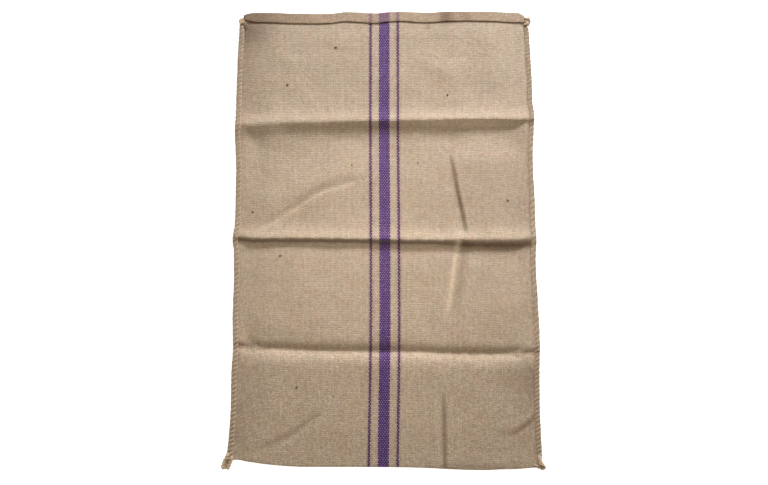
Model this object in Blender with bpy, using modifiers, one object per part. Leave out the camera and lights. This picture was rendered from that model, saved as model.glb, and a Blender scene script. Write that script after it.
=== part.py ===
"""A jute sack lying flat on its back ply, with its mouth towards +Y.

One length of cloth is folded in half at the bottom of the sack, hemmed outward at the mouth, and its
selvedges are overcast together with twine. The sack had been folded in four, so three creases cross it.
All sizes are in millimetres until a mesh is made. The origin is on the surface the sack lies on, at the
middle of the space it takes up: X runs across the sack, Y along it, and Z up.
"""

import math

import bmesh
import bpy
import numpy as np

MM = 0.001

# Cloth and layers
CLOTH_THICKNESS = 1.1
SEAM_PLY_GAP = 0.5
HEM_GAP = 0.32
HEM_DEPTH = 24.0

# Heights of the middle of the cloth's thickness above the surface
BACK_LEVEL = CLOTH_THICKNESS / 2
PANEL_LEVEL = 14.9
MOUTH_LEVEL = 12.4
FOLD_LEVEL = 5.0
LAYER_STEP = CLOTH_THICKNESS + HEM_GAP
BACK_HEM_RISE = 2 * LAYER_STEP

# Overcast seam: how far it reaches in over the cloth, and its wall above the cloth
SEAM_REACH = 10.0
SEAM_WALL = 2.1
SEAM_GROOVE = 0.9
SEAM_CLEARANCE = 0.5
SEAM_OUTSIDE = 2.6
SEAM_SLACK = 1.1
STITCH_PITCH = 10.2
STITCH_SLANT = 8.0
SEAM_FLAT = 12.0
LEFT_SEAM_SPAN = (-509.5, 518.5)
RIGHT_SEAM_SPAN = (-526.5, 504.5)

# How far the plies take to rise from the seam, the bottom fold and the mouth to their own level
FRONT_RISE_WIDTH = 60.0
BACK_RISE_WIDTH = 35.0
BOTTOM_RISE_LENGTH = 58.0
MOUTH_RISE_LENGTH = 75.0
HEM_RISE_START = 62.0
HEM_RISE_END = 32.0

# Outer reach of the side seams, from the bottom of the sack to the mouth
LEFT_SIDE = {
    "y": (-512, -392, -267, -140, -12, 60, 140, 228, 281, 341, 410, 496, 546),
    "x": (-357.0, -352.9, -351.9, -351.8, -352.4, -350.8, -351.6, -355.2, -355.6, -355.4, -353.8, -351.0, -351.6),
}
RIGHT_SIDE = {
    "y": (-530, -392, -267, -140, -12, 60, 140, 228, 281, 341, 410, 496, 546),
    "x": (359.8, 357.6, 361.0, 358.6, 355.6, 357.0, 356.2, 357.0, 356.8, 356.2, 354.2, 351.7, 353.0),
}

# How far the corners of the mouth are drawn in by the ends of the seams
LEFT_CORNER = {"y": (512, 522, 532, 546), "inset": (0, 2, 9, 17)}
RIGHT_CORNER = {"y": (492, 503, 511, 546), "inset": (0, 6, 14, 17)}

# Lines that cross the sack
MOUTH_LINE = {
    "x": (-334, -322, -300, -242, -184, -125, -67, -9, 50, 108, 225, 284, 318, 336),
    "y": (534.0, 541.5, 545.8, 545.4, 543.1, 544.0, 547.6, 545.8, 550.0, 546.0, 548.8, 547.7, 544.0, 533.0),
}
CREASE_LINES = (
    {"x": (-336, -246, -153, -74, 0, 246, 348), "y": (265.0, 271.0, 274.6, 279.6, 280.8, 279.6, 282.0)},
    {"x": (-349, -150, 0, 87, 166, 241, 354), "y": (-7.0, -8.2, -10.6, -15.3, -16.5, -21.3, -20.1)},
    {"x": (-346, -238, -148, 0, 85, 164, 237, 355), "y": (-256.0, -264.0, -266.5, -267.6, -268.7, -272.2, -275.6, -270.0)},
)
BOTTOM_LINE = {
    "x": (-350, -322, -281, -240, -199, 47, 88, 128, 169, 230, 292, 333, 354),
    "y": (-512.0, -523.6, -529.6, -533.3, -536.9, -537.5, -539.3, -541.1, -543.1, -543.7, -541.9, -539.5, -529.5),
}

# Profiles across the creases: distance towards the mouth, height in the middle, and lift at the seams
RIDGE = {
    "distance": (-55, -24, -11, 0, 13, 28, 60),
    "height": (0.0, 1.6, 6.4, 12.0, 8.4, 3.8, 0.0),
    "at_seam": (0.0, 0.6, 2.4, 3.1, 2.4, 1.1, 0.0),
}
VALLEY = {
    "distance": (-65, -38, -15, 0, 18, 42, 80),
    "height": (0.0, 1.5, -0.9, -2.8, -0.4, 1.5, 0.0),
    "at_seam": (0.0, 0.0, 0.0, 0.0, 0.0, 0.0, 0.0),
}
CREASES = tuple(zip(CREASE_LINES, (RIDGE, RIDGE, VALLEY)))

# A slack fold runs down the right half of the front ply as a shallow trough
SLACK_FOLD = {
    "y": (-546, -534, -382, -330, -184, -98, -27, -11, 92, 182, 230, 546),
    "x": (144, 144, 142, 144, 152, 171, 177, 186, 182, 161, 158, 158),
    "height": (0.0, -1.4, -1.4, 0.0, -1.4, -2.2, -2.0, -2.3, -2.6, -1.4, 0.0, 0.0),
}
SLACK_FOLD_HALF_WIDTH = 22.0

# Gentle unevenness of the front ply: waves across and along, in turns over a metre, and their height
UNEVENNESS = (
    {"across": 2.3, "along": 3.1, "phase": 0.4, "height": 0.55},
    {"across": -3.4, "along": 4.7, "phase": 2.1, "height": 0.35},
    {"across": 6.1, "along": 2.2, "phase": 4.0, "height": 0.25},
)

# Columns of the cloth's mesh, as distances in from each side and shares of the spans between
EDGE_COLUMNS = (0.0, SEAM_FLAT, 28.0, 48.0, 75.0)
FOLD_COLUMNS = (-SLACK_FOLD_HALF_WIDTH, -9.0, 0.0, 9.0, SLACK_FOLD_HALF_WIDTH)
LEFT_SPAN_SHARES = (0.14, 0.28, 0.42, 0.56, 0.70, 0.85)
RIGHT_SPAN_SHARES = (0.5,)

# Rows of the cloth's mesh, as distances from the mouth, from the bottom, and shares of the panels
HEM_ROWS = (1.9, 12.0, HEM_DEPTH)
TURNED_IN_ROWS = (5.0, 12.0, HEM_DEPTH)
MOUTH_ROWS = (HEM_RISE_END, 47.0, HEM_RISE_START)
BOTTOM_ROWS = (BOTTOM_RISE_LENGTH, 38.0, 20.0, 8.0)
FOLD_ROW = (FOLD_LEVEL - CLOTH_THICKNESS / 2) / 2
FRONT_PANEL_SHARES = (0.25, 0.5, 0.75)
BACK_PANEL_SHARES = (0.5,)
TURN_ANGLES = (45.0, 90.0, 135.0)

# Knots of twine: centre, half sizes, turn about Z in degrees, and how deep the lay of the twine is cut
KNOTS = {
    "twine_knot_top_left": {"centre": (-344.6, 527.8), "half": (6.2, 6.0, 4.4), "turn": 20, "lay": 0.10},
    "twine_knot_top_right": {"centre": (346.6, 519.0), "half": (8.6, 13.8, 5.0), "turn": -6, "lay": 0.12},
    "twine_knot_bottom_left": {"centre": (-358.6, -530.0), "half": (8.8, 19.2, 5.0), "turn": -18, "lay": 0.14},
    "twine_knot_bottom_right": {"centre": (360.4, -539.2), "half": (7.4, 11.4, 4.8), "turn": 42, "lay": 0.12},
}
KNOT_SEGMENTS = 16
KNOT_RINGS = 10

COLOURS = {
    "jute cloth": {"colour": (0.48, 0.37, 0.26, 1.0), "roughness": 0.92},
    "jute twine": {"colour": (0.52, 0.40, 0.28, 1.0), "roughness": 0.90},
}


def smooth(t):
    """Rises from 0 to 1 with flat ends as t goes from 0 to 1."""
    t = np.clip(t, 0.0, 1.0)
    return t * t * (3.0 - 2.0 * t)


def mix(low, high, share):
    return low + (high - low) * share


def line(table, x):
    """Place along the sack of a line that crosses it."""
    return np.interp(x, table["x"], table["y"])


def left_side(y):
    """X of the line that the left seam is wound round."""
    inset = np.interp(y, LEFT_CORNER["y"], LEFT_CORNER["inset"])
    return np.interp(y, LEFT_SIDE["y"], LEFT_SIDE["x"]) + SEAM_OUTSIDE + inset


def right_side(y):
    """X of the line that the right seam is wound round."""
    inset = np.interp(y, RIGHT_CORNER["y"], RIGHT_CORNER["inset"])
    return np.interp(y, RIGHT_SIDE["y"], RIGHT_SIDE["x"]) - SEAM_OUTSIDE - inset


def crease_sum(x, y, column):
    """Height that the creases add at a point, read from one column of their profiles."""
    return sum(np.interp(y - line(place, x), shape["distance"], shape[column]) for place, shape in CREASES)


def back_height(x, y, from_side):
    """Middle of the back ply: flat on the surface, lifted at the seams and over its own hem."""
    hem = BACK_HEM_RISE * smooth((HEM_RISE_START - (line(MOUTH_LINE, x) - y)) / (HEM_RISE_START - HEM_RISE_END))
    at_seam = SEAM_WALL + SEAM_CLEARANCE + CLOTH_THICKNESS / 2 + crease_sum(x, y, "at_seam")
    share = smooth((from_side - SEAM_FLAT) / BACK_RISE_WIDTH)
    return mix(at_seam, BACK_LEVEL + hem, share)


def slack_fold(x, y):
    across = np.abs(x - np.interp(y, SLACK_FOLD["y"], SLACK_FOLD["x"])) / SLACK_FOLD_HALF_WIDTH
    return np.interp(y, SLACK_FOLD["y"], SLACK_FOLD["height"]) * (1.0 - smooth(across))


def unevenness(x, y):
    return sum(
        w["height"] * np.sin((x * w["across"] + y * w["along"]) * 2 * math.pi / 1000 + w["phase"])
        for w in UNEVENNESS
    )


def front_height(x, y, from_side):
    """Middle of the front ply: panels between the creases, drawn down at the seams and the fold."""
    from_mouth = line(MOUTH_LINE, x) - y
    from_bottom = y - line(BOTTOM_LINE, x)
    panel = PANEL_LEVEL + unevenness(x, y) + slack_fold(x, y) + crease_sum(x, y, "height")
    panel = mix(MOUTH_LEVEL, panel, smooth(from_mouth / MOUTH_RISE_LENGTH))
    panel = mix(FOLD_LEVEL, panel, smooth(from_bottom / BOTTOM_RISE_LENGTH))
    above_back = CLOTH_THICKNESS + SEAM_PLY_GAP
    at_seam = SEAM_WALL + SEAM_CLEARANCE + CLOTH_THICKNESS / 2 + above_back + crease_sum(x, y, "at_seam")
    share = smooth((from_side - SEAM_FLAT) / FRONT_RISE_WIDTH)
    return mix(at_seam, panel, share)


def columns(y):
    """X of every column of the cloth at one place along the sack, from left to right."""
    left = left_side(y) + SEAM_SLACK
    right = right_side(y) - SEAM_SLACK
    fold = np.interp(y, SLACK_FOLD["y"], SLACK_FOLD["x"])
    from_left = [left + e for e in EDGE_COLUMNS]
    from_right = [right - e for e in reversed(EDGE_COLUMNS)]
    at_fold = [fold + e for e in FOLD_COLUMNS]
    left_span = [mix(from_left[-1], at_fold[0], s) for s in LEFT_SPAN_SHARES]
    right_span = [mix(at_fold[-1], from_right[0], s) for s in RIGHT_SPAN_SHARES]
    return np.array(from_left + left_span + at_fold + right_span + from_right)


def edge_distance(x, y):
    """How far in a point lies from the nearer side edge of the plies."""
    return np.minimum(x - left_side(y), right_side(y) - x) - SEAM_SLACK


def place_row(start, end, share, width_at=None):
    """X and Y of a row that lies a share of the way from one line to another.

    A line is given as (table, distance from it towards the mouth). The row is as wide as the plies are
    there, or as they are at width_at.
    """
    middle = mix(line(start[0], 0.0) + start[1], line(end[0], 0.0) + end[1], share)
    x = columns(middle if width_at is None else width_at)
    y = mix(line(start[0], x) + start[1], line(end[0], x) + end[1], share)
    return x, y


def rows_beside(table, distances):
    return [place_row((table, d), (table, d), 0.0) for d in distances]


def rows_between(upper, lower, shares):
    return [place_row(upper, lower, s) for s in shares]


def front_rows():
    """Rows of the front ply from the mouth, under its hem, down to the bottom fold."""
    rows = rows_beside(MOUTH_LINE, [-d for d in HEM_ROWS + MOUTH_ROWS])
    above = (MOUTH_LINE, -MOUTH_ROWS[-1])
    for place, shape in CREASES:
        distances = tuple(reversed(shape["distance"]))
        rows += rows_between(above, (place, distances[0]), FRONT_PANEL_SHARES)
        rows += rows_beside(place, distances)
        above = (place, distances[-1])
    rows += rows_between(above, (BOTTOM_LINE, BOTTOM_ROWS[0]), FRONT_PANEL_SHARES)
    return rows + rows_beside(BOTTOM_LINE, BOTTOM_ROWS + (FOLD_ROW,))


def back_rows():
    """Rows of the back ply from the bottom fold up to the mouth."""
    rows = rows_beside(BOTTOM_LINE, (FOLD_ROW, 30.0))
    below = (BOTTOM_LINE, 30.0)
    for place, shape in reversed(CREASES):
        distances = shape["distance"] if any(shape["at_seam"]) else (0,)
        rows += rows_between(below, (place, distances[0]), BACK_PANEL_SHARES)
        rows += rows_beside(place, distances)
        below = (place, distances[-1])
    rows += rows_between(below, (MOUTH_LINE, -MOUTH_ROWS[-1]), BACK_PANEL_SHARES)
    return rows + rows_beside(MOUTH_LINE, [-d for d in reversed(HEM_ROWS + MOUTH_ROWS)])


def hem_rows(distances):
    """Rows of one layer of a hem, inside the corners of the ply, at these distances from the mouth."""
    return [place_row((MOUTH_LINE, -d), (MOUTH_LINE, -d), 0.0, LEFT_CORNER["y"][-1]) for d in distances]


def lifted(rows, height, rise=0.0):
    """The points of ply rows, with the ply's height and a rise above it."""
    return [np.stack([x, y, height(x, y, edge_distance(x, y)) + rise], axis=1) for x, y in rows]


def turned(before, first, second):
    """Rows round a fold from the end of one layer to the start of the next, as half circles.

    The fold bulges the way the layer runs, from its row before the last to its last row.
    """
    centre = (first + second) / 2
    radius = np.abs(first[:, 2:] - second[:, 2:]) / 2
    outward = np.sign(first[:, 1:2] - before[:, 1:2]) * np.array([[0.0, 1.0, 0.0]])
    rows = []
    for angle in TURN_ANGLES:
        a = math.radians(angle)
        rows.append(centre + (first - centre) * math.cos(a) + outward * radius * math.sin(a))
    return rows


def cloth_points():
    """Middle of the cloth's thickness as rows: front hem, front ply, bottom fold, back ply, back hem.

    A hem is turned twice, so its raw edge lies inside it.
    """
    inner, outer = hem_rows(TURNED_IN_ROWS), hem_rows(reversed(HEM_ROWS))
    layers = (
        lifted(inner, front_height, LAYER_STEP),
        lifted(outer, front_height, 2 * LAYER_STEP),
        lifted(front_rows(), front_height),
        lifted(back_rows(), back_height),
        lifted(outer, back_height, -2 * LAYER_STEP)[::-1],
        lifted(inner, back_height, -LAYER_STEP)[::-1],
    )
    rows = list(layers[0])
    for layer in layers[1:]:
        rows += turned(rows[-2], rows[-1], layer[0]) + layer
    return np.array(rows)


def grid_mesh(points):
    """A bmesh whose vertices are a grid of points, in millimetres, with one quad in each cell."""
    rows, across = points.shape[:2]
    bm = bmesh.new()
    bmesh.ops.create_grid(bm, x_segments=across - 1, y_segments=rows - 1, size=1.0)
    for vertex in bm.verts:
        column = round((vertex.co.x + 1.0) / 2.0 * (across - 1))
        row = round((vertex.co.y + 1.0) / 2.0 * (rows - 1))
        vertex.co = points[row, column] * MM
    return bm


def finish_mesh(bm, name):
    mesh = bpy.data.meshes.new(name)
    bm.to_mesh(mesh)
    bm.free()
    mesh.shade_smooth()
    mesh.set_sharp_from_angle(angle=math.radians(50))
    return mesh


def add_object(name, mesh, material, collection):
    thing = bpy.data.objects.new(name, mesh)
    thing.data.materials.append(material)
    collection.objects.link(thing)
    return thing


def make_cloth(material, collection):
    """The one length of cloth, given its thickness on both sides of its middle."""
    bm = grid_mesh(cloth_points())
    thing = add_object("sack_cloth", finish_mesh(bm, "sack_cloth"), material, collection)
    thickness = thing.modifiers.new("cloth thickness", "SOLIDIFY")
    thickness.thickness = CLOTH_THICKNESS * MM
    thickness.offset = 0.0
    thickness.use_even_offset = True
    return thing


def seam_section(depth):
    """Section of the overcast twine as (distance in, height, slant share), round from the upper lip.

    The slant share says how far along the seam the point is carried by the slant of the stitches.
    """
    pack = CLOTH_THICKNESS + SEAM_PLY_GAP / 2 + SEAM_CLEARANCE
    top = pack + SEAM_WALL - depth
    side = SEAM_OUTSIDE - depth
    lip = pack + 0.45
    return (
        (SEAM_REACH, lip, 1.0),
        (SEAM_REACH * 0.45, top, 0.5),
        (-side * 0.8, top * 0.55, 0.0),
        (-side * 0.8, -top * 0.55, 0.0),
        (SEAM_REACH * 0.45, -top, -0.1),
        (SEAM_REACH, -lip, -0.2),
        (-0.5, -pack, 0.0),
        (-0.5, pack, 0.0),
    )


def make_seam(name, side, start, end, material, collection):
    """A seam's twine along one side edge, +1 for the right, with a slanted ridge for each stitch."""
    edge = right_side if side > 0 else left_side
    stitches = round((end - start) / STITCH_PITCH)
    stations = np.linspace(start, end, 2 * stitches + 1)
    level = SEAM_WALL + SEAM_CLEARANCE + CLOTH_THICKNESS + SEAM_PLY_GAP / 2
    rows = []
    for number, station in enumerate(stations):
        section = np.array(seam_section(SEAM_GROOVE if number % 2 == 0 else 0.0))
        y = station - side * section[:, 2] * STITCH_SLANT
        x = edge(y) - side * section[:, 0]
        z = level + crease_sum(edge(y), y, "at_seam") + section[:, 1]
        loop = np.stack([x, y, z], axis=1)
        rows.append(np.concatenate([loop, loop[:1]]))
    bm = grid_mesh(np.array(rows))
    bmesh.ops.remove_doubles(bm, verts=bm.verts, dist=1e-6)
    bmesh.ops.holes_fill(bm, edges=bm.edges, sides=0)
    bmesh.ops.recalc_face_normals(bm, faces=bm.faces)
    return add_object(name, finish_mesh(bm, name), material, collection)


def make_knot(name, facts, material, collection):
    """A tied end of twine: a flattened ball whose surface is grooved by the turns of the twine."""
    bm = bmesh.new()
    bmesh.ops.create_uvsphere(bm, u_segments=KNOT_SEGMENTS, v_segments=KNOT_RINGS, radius=1.0)
    turn = math.radians(facts["turn"])
    half_x, half_y, half_z = facts["half"]
    for vertex in bm.verts:
        x, y, z = vertex.co.y, vertex.co.z, vertex.co.x
        round_it = math.atan2(z, x)
        lay = 1.0 - facts["lay"] * (0.5 - 0.5 * math.cos(3 * round_it + 5 * y)) * math.sqrt(max(0.0, 1 - y * y))
        x, y, z = x * lay * half_x, y * half_y, z * lay * half_z
        vertex.co.x = (facts["centre"][0] + x * math.cos(turn) - y * math.sin(turn)) * MM
        vertex.co.y = (facts["centre"][1] + x * math.sin(turn) + y * math.cos(turn)) * MM
        vertex.co.z = (half_z + z) * MM
    return add_object(name, finish_mesh(bm, name), material, collection)


def make_material(name):
    facts = COLOURS[name]
    material = bpy.data.materials.new(name)
    material.use_nodes = True
    shader = material.node_tree.nodes["Principled BSDF"]
    shader.inputs["Base Color"].default_value = facts["colour"]
    shader.inputs["Roughness"].default_value = facts["roughness"]
    shader.inputs["Metallic"].default_value = 0.0
    return material


def main():
    for thing in list(bpy.data.objects):
        bpy.data.objects.remove(thing, do_unlink=True)
    collection = bpy.data.collections.new("jute_sack")
    bpy.context.scene.collection.children.link(collection)
    cloth = make_material("jute cloth")
    twine = make_material("jute twine")
    make_cloth(cloth, collection)
    make_seam("seam_twine_left", -1, *LEFT_SEAM_SPAN, twine, collection)
    make_seam("seam_twine_right", 1, *RIGHT_SEAM_SPAN, twine, collection)
    for name, facts in KNOTS.items():
        make_knot(name, facts, twine, collection)


main()
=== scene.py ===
# %% [markdown]
# # A jute sack laid flat
#
# This lesson dresses a packed model of an empty jute sack. The packed model gives every node's place and
# size, in metres, with the sack's mouth towards +Y and the surface it lies on at Z = 0. Coarse solids
# stand there for the cloth, the two overcast seams and the four knots. Each is replaced by a finer piece
# that lies in the same space. Shapes are worked out in millimetres, because a sack maker thinks in them,
# and are turned into metres when a mesh is made.

# %% Load the packed frame
import math

import bmesh
import bpy
import numpy as np
from mathutils import Matrix


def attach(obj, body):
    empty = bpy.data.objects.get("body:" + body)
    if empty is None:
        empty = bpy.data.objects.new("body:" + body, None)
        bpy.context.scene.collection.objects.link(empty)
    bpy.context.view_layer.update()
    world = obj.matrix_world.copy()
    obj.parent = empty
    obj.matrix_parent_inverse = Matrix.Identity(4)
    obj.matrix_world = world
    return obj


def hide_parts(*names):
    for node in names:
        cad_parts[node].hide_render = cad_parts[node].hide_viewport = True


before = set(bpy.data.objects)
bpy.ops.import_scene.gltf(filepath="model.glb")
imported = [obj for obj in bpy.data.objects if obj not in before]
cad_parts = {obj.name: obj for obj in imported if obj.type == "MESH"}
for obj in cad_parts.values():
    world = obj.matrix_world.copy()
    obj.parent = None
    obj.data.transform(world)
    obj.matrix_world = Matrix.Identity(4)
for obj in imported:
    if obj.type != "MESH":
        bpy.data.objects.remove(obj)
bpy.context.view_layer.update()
MM = 0.001
METRE = 1000.0
print("packed nodes:", sorted(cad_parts))

# %% [markdown]
# ## The camera
#
# The sack is looked at from above, almost straight down, from a point a little towards its bottom end.
# A camera can be placed by angles, but two points are easier to reason about: where it stands and what it
# looks at. The lens follows from how much of the floor the picture has to take in.

# %% Place the camera by two points
PICTURE_WIDTH = 768
SENSOR = 36.0
FOCAL_PIXELS = 1063.8
CAMERA_AT = np.array([0.0, -0.411, 2.469])
CAMERA_AIM = np.array([0.0, -0.020, 0.0])


def look_at(thing, place, target):
    """Puts a camera or lamp at a place and turns its -Z axis to a target, with +Y of the world upwards."""
    back = (place - target) / np.linalg.norm(place - target)
    right = np.cross([0.0, 1.0, 0.0], back)
    right /= np.linalg.norm(right)
    up = np.cross(back, right)
    world = np.eye(4)
    world[:3, 0], world[:3, 1], world[:3, 2], world[:3, 3] = right, up, back, place
    thing.matrix_world = Matrix(world.tolist())


def link(thing):
    """Puts a new object into the scene, and hands it back."""
    bpy.context.scene.collection.objects.link(thing)
    return thing


camera_data = bpy.data.cameras.new("camera")
camera_data.sensor_width = SENSOR
camera_data.lens = FOCAL_PIXELS * SENSOR / PICTURE_WIDTH
camera = link(bpy.data.objects.new("camera", camera_data))
look_at(camera, CAMERA_AT, CAMERA_AIM)
bpy.context.scene.camera = camera
print(f"lens {camera_data.lens:.1f} mm for a picture {PICTURE_WIDTH} points wide")

# %% [markdown]
# ## Light and floor
#
# Cloth lying flat shows its folds only where light grazes them. One large soft lamp, a little cool, stands
# beyond the mouth of the sack and to its right, so slopes that face the mouth are bright and the others
# dark, and its light fades towards the bottom. A second lamp, weak and warm, hangs over the middle. A warm
# white world fills the shadows. The floor is plain white, just under the sack's lowest point, and gives off
# a little light of its own, as a sheet of paper on a light table does, so it stays even. The Standard view
# transform shows colours as they are, without a film look.

# %% Two lamps
KEY_LAMP = {
    "at": (0.75, 2.40, 1.15),
    "aim": (0.0, 0.10, 0.0),
    "size": 0.70,
    "watts": 98.5,
    "spread": 180.0,
    "colour": (0.97, 0.985, 1.04),
}
TOP_LAMP = {
    "at": (0.0, -0.09, 2.0),
    "aim": (-0.02, -0.10, 0.0),
    "size": 0.25,
    "watts": 0.75,
    "spread": 42.0,
    "colour": (1.0, 0.93, 0.80),
}


def lamp(name, facts):
    """A round soft lamp; a small spread keeps its light near the line to its aim."""
    data = bpy.data.lights.new(name, "AREA")
    data.shape = "DISK"
    data.size = facts["size"]
    data.energy = facts["watts"]
    data.spread = math.radians(facts["spread"])
    data.color = facts["colour"]
    thing = link(bpy.data.objects.new(name, data))
    look_at(thing, np.array(facts["at"]), np.array(facts["aim"]))
    return thing


key_lamp = lamp("key_lamp", KEY_LAMP)
top_lamp = lamp("top_lamp", TOP_LAMP)
print(f"key lamp {KEY_LAMP['watts']} W, top lamp {TOP_LAMP['watts']} W")

# %% The world round the sack
SKY_COLOUR = (1.0, 0.885, 0.75)
SKY_STRENGTH = 0.40

bpy.context.scene.view_settings.view_transform = "Standard"
world = bpy.data.worlds.new("white_room")
world.use_nodes = True
sky = world.node_tree.nodes["Background"]
sky.inputs["Color"].default_value = (*SKY_COLOUR, 1.0)
sky.inputs["Strength"].default_value = SKY_STRENGTH
bpy.context.scene.world = world
print("sky strength:", SKY_STRENGTH)

# %% The floor
FLOOR_SIZE = 6.0
FLOOR_LEVEL = -0.5 * MM
FLOOR_COLOUR = (0.92, 0.92, 0.92)
FLOOR_ROUGHNESS = 0.9
FLOOR_GLOW = 0.75


def plain_material(name, colour, roughness):
    """A material with one Principled shader, and that shader's node."""
    material = bpy.data.materials.new(name)
    material.use_nodes = True
    shader = material.node_tree.nodes["Principled BSDF"]
    shader.inputs["Base Color"].default_value = (*colour, 1.0)
    shader.inputs["Roughness"].default_value = roughness
    return material, shader


floor_material, floor_shader = plain_material("white_floor", FLOOR_COLOUR, FLOOR_ROUGHNESS)
floor_shader.inputs["Emission Color"].default_value = (1.0, 1.0, 1.0, 1.0)
floor_shader.inputs["Emission Strength"].default_value = FLOOR_GLOW
floor_mesh = bpy.data.meshes.new("floor")
floor_ends = np.array([[-1, -1], [1, -1], [1, 1], [-1, 1]]) * FLOOR_SIZE / 2
floor_corners = [(x, y, FLOOR_LEVEL) for x, y in floor_ends.tolist()]
floor_mesh.from_pydata(floor_corners, [], [(0, 1, 2, 3)])
floor_mesh.materials.append(floor_material)
floor = link(bpy.data.objects.new("floor", floor_mesh))
print("floor:", FLOOR_SIZE, "m wide, at", FLOOR_LEVEL / MM, "mm")

# %% [markdown]
# ## The shape of the sack
#
# A sack is one length of cloth, folded in half at the bottom and sewn together along its selvedges. Where
# its edges, creases and folds run is written in short tables, one for each line, read off at a dozen
# places. A straight line between two rows of a table would leave a kink, so a cubic is drawn through them.
# Its slope at a row is the harmonic mean of the slopes on both sides, and zero at a peak: the curve then
# never swings past the numbers in the table.

# %% Curves through tables
FINE_STEPS = 4000


def curve(xs, ys, at):
    """Cubic through places xs and values ys, flat at peaks, constant beyond its ends.

    Between two rows it is the straight line, plus t times one less t times a bend: the mix of how much
    each end's slope differs from that line.
    """
    xs, ys = np.asarray(xs, float), np.asarray(ys, float)
    secant = np.diff(ys) / np.diff(xs)
    product = secant[:-1] * secant[1:]
    total = np.where(product > 0, secant[:-1] + secant[1:], 1.0)
    slope = np.concatenate([secant[:1], np.where(product > 0, 2 * product / total, 0.0), secant[-1:]])
    at = np.clip(at, xs[0], xs[-1])
    i = np.clip(np.searchsorted(xs, at, side="right") - 1, 0, len(xs) - 2)
    width, rise = xs[i + 1] - xs[i], ys[i + 1] - ys[i]
    t = (at - xs[i]) / width
    bend = (1 - t) * (slope[i] * width - rise) + t * (rise - slope[i + 1] * width)
    return ys[i] + rise * t + t * (1 - t) * bend


def smooth(t):
    """Rises from 0 to 1 with flat ends as t goes from 0 to 1: three t squared less two t cubed."""
    t = np.clip(t, 0.0, 1.0)
    return t * t * (3.0 - 2.0 * t)


def mix(low, high, share):
    """A value between two: the low one, plus the way to the high one times a share."""
    return low + (high - low) * share


def bell(off, width):
    """1 at no distance off, falling away on both sides: e to the minus square of distance over width."""
    return np.exp(-((off / width) ** 2))


def spread(start, end, count, finer):
    """Places from start to end that crowd together round some places.

    finer lists (place, width, extra): the density is 1 plus each extra times a bell of that width.
    The density is summed up along the way, and the sum is cut into equal parts.
    """
    fine = np.linspace(start, end, FINE_STEPS)
    density = 1.0 + sum(extra * bell(fine - place, width) for place, width, extra in finer)
    steps = (density[1:] + density[:-1]) / 2
    total = np.concatenate([[0.0], np.cumsum(steps)])
    return np.interp(np.linspace(0.0, total[-1], count), total, fine)


print("half way between two equal slopes:", float(curve((0, 1, 2), (0, 1, 2), 0.5)))

# %% [markdown]
# ## Edges, mouth and creases
#
# The sizes below are those of the packed solids, in millimetres: X across the sack and Y along it. The
# seams draw the corners of the mouth in a little. The sack had been folded in four, so three creases run
# across it: two stand up as ridges and the third lies as a valley.

# %% Tables of the sack's lines
# The cloth's thickness, and the gaps between its layers at the seams and in the hems
CLOTH_THICKNESS = 1.1
SEAM_PLY_GAP = 0.5
HEM_GAP = 0.32
HEM_DEPTH = 24.0
LAYER_STEP = CLOTH_THICKNESS + HEM_GAP

# Heights of the middle of the back ply, and of the front ply in its panels, at the mouth and at the fold
BACK_LEVEL = CLOTH_THICKNESS / 2
PANEL_LEVEL = 14.9
MOUTH_LEVEL = 12.4
FOLD_LEVEL = 5.0

# How far the stitches reach in and out, what lies below the selvedges, and the strip they keep flat
SEAM_REACH = 10.0
SEAM_WALL = 2.1
SEAM_CLEARANCE = 0.5
SEAM_OUTSIDE = 2.6
SEAM_SLACK = 1.1
SEAM_FLAT = 12.0

# The outline at the sides, and how far the seams are drawn in at the corners of the mouth
LEFT_SIDE = {
    "y": (
        -530, -504, -477, -437, -396, -355, -314, -273, -231, -190, -148, -106, -63, -40, -21, -4, 22,
        65, 108, 152, 196, 240, 284, 329, 373, 418, 464, 490, 520, 546,
    ),
    "x": (
        -358.4, -357.6, -355.3, -352.9, -351.7, -352.1, -351.5, -349.4, -350.9, -351.9, -351.5, -351.1,
        -352.0, -352.6, -355.8, -354.6, -351.6, -350.8, -351.3, -351.4, -353.3, -355.9, -355.0, -354.7,
        -354.2, -353.5, -352.0, -351.0, -350.6, -350.8,
    ),
}
RIGHT_SIDE = {
    "y": (
        -530, -511, -477, -437, -396, -355, -314, -273, -231, -190, -148, -106, -63, -21, 22, 65, 108,
        152, 196, 240, 284, 329, 373, 418, 464, 490, 505, 546,
    ),
    "x": (
        360.0, 360.2, 359.4, 358.4, 357.8, 358.5, 358.9, 360.8, 361.2, 359.6, 358.5, 356.9, 355.9,
        358.0, 357.1, 356.9, 356.2, 354.6, 354.6, 357.8, 359.6, 356.3, 356.4, 354.7, 353.2, 352.2,
        351.8, 352.6,
    ),
}
LEFT_CORNER = {"y": (512, 522, 532, 546), "inset": (0, 2, 6, 9)}
RIGHT_CORNER = {"y": (498, 510, 530, 546), "inset": (0, 2, 6, 8)}

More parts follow.
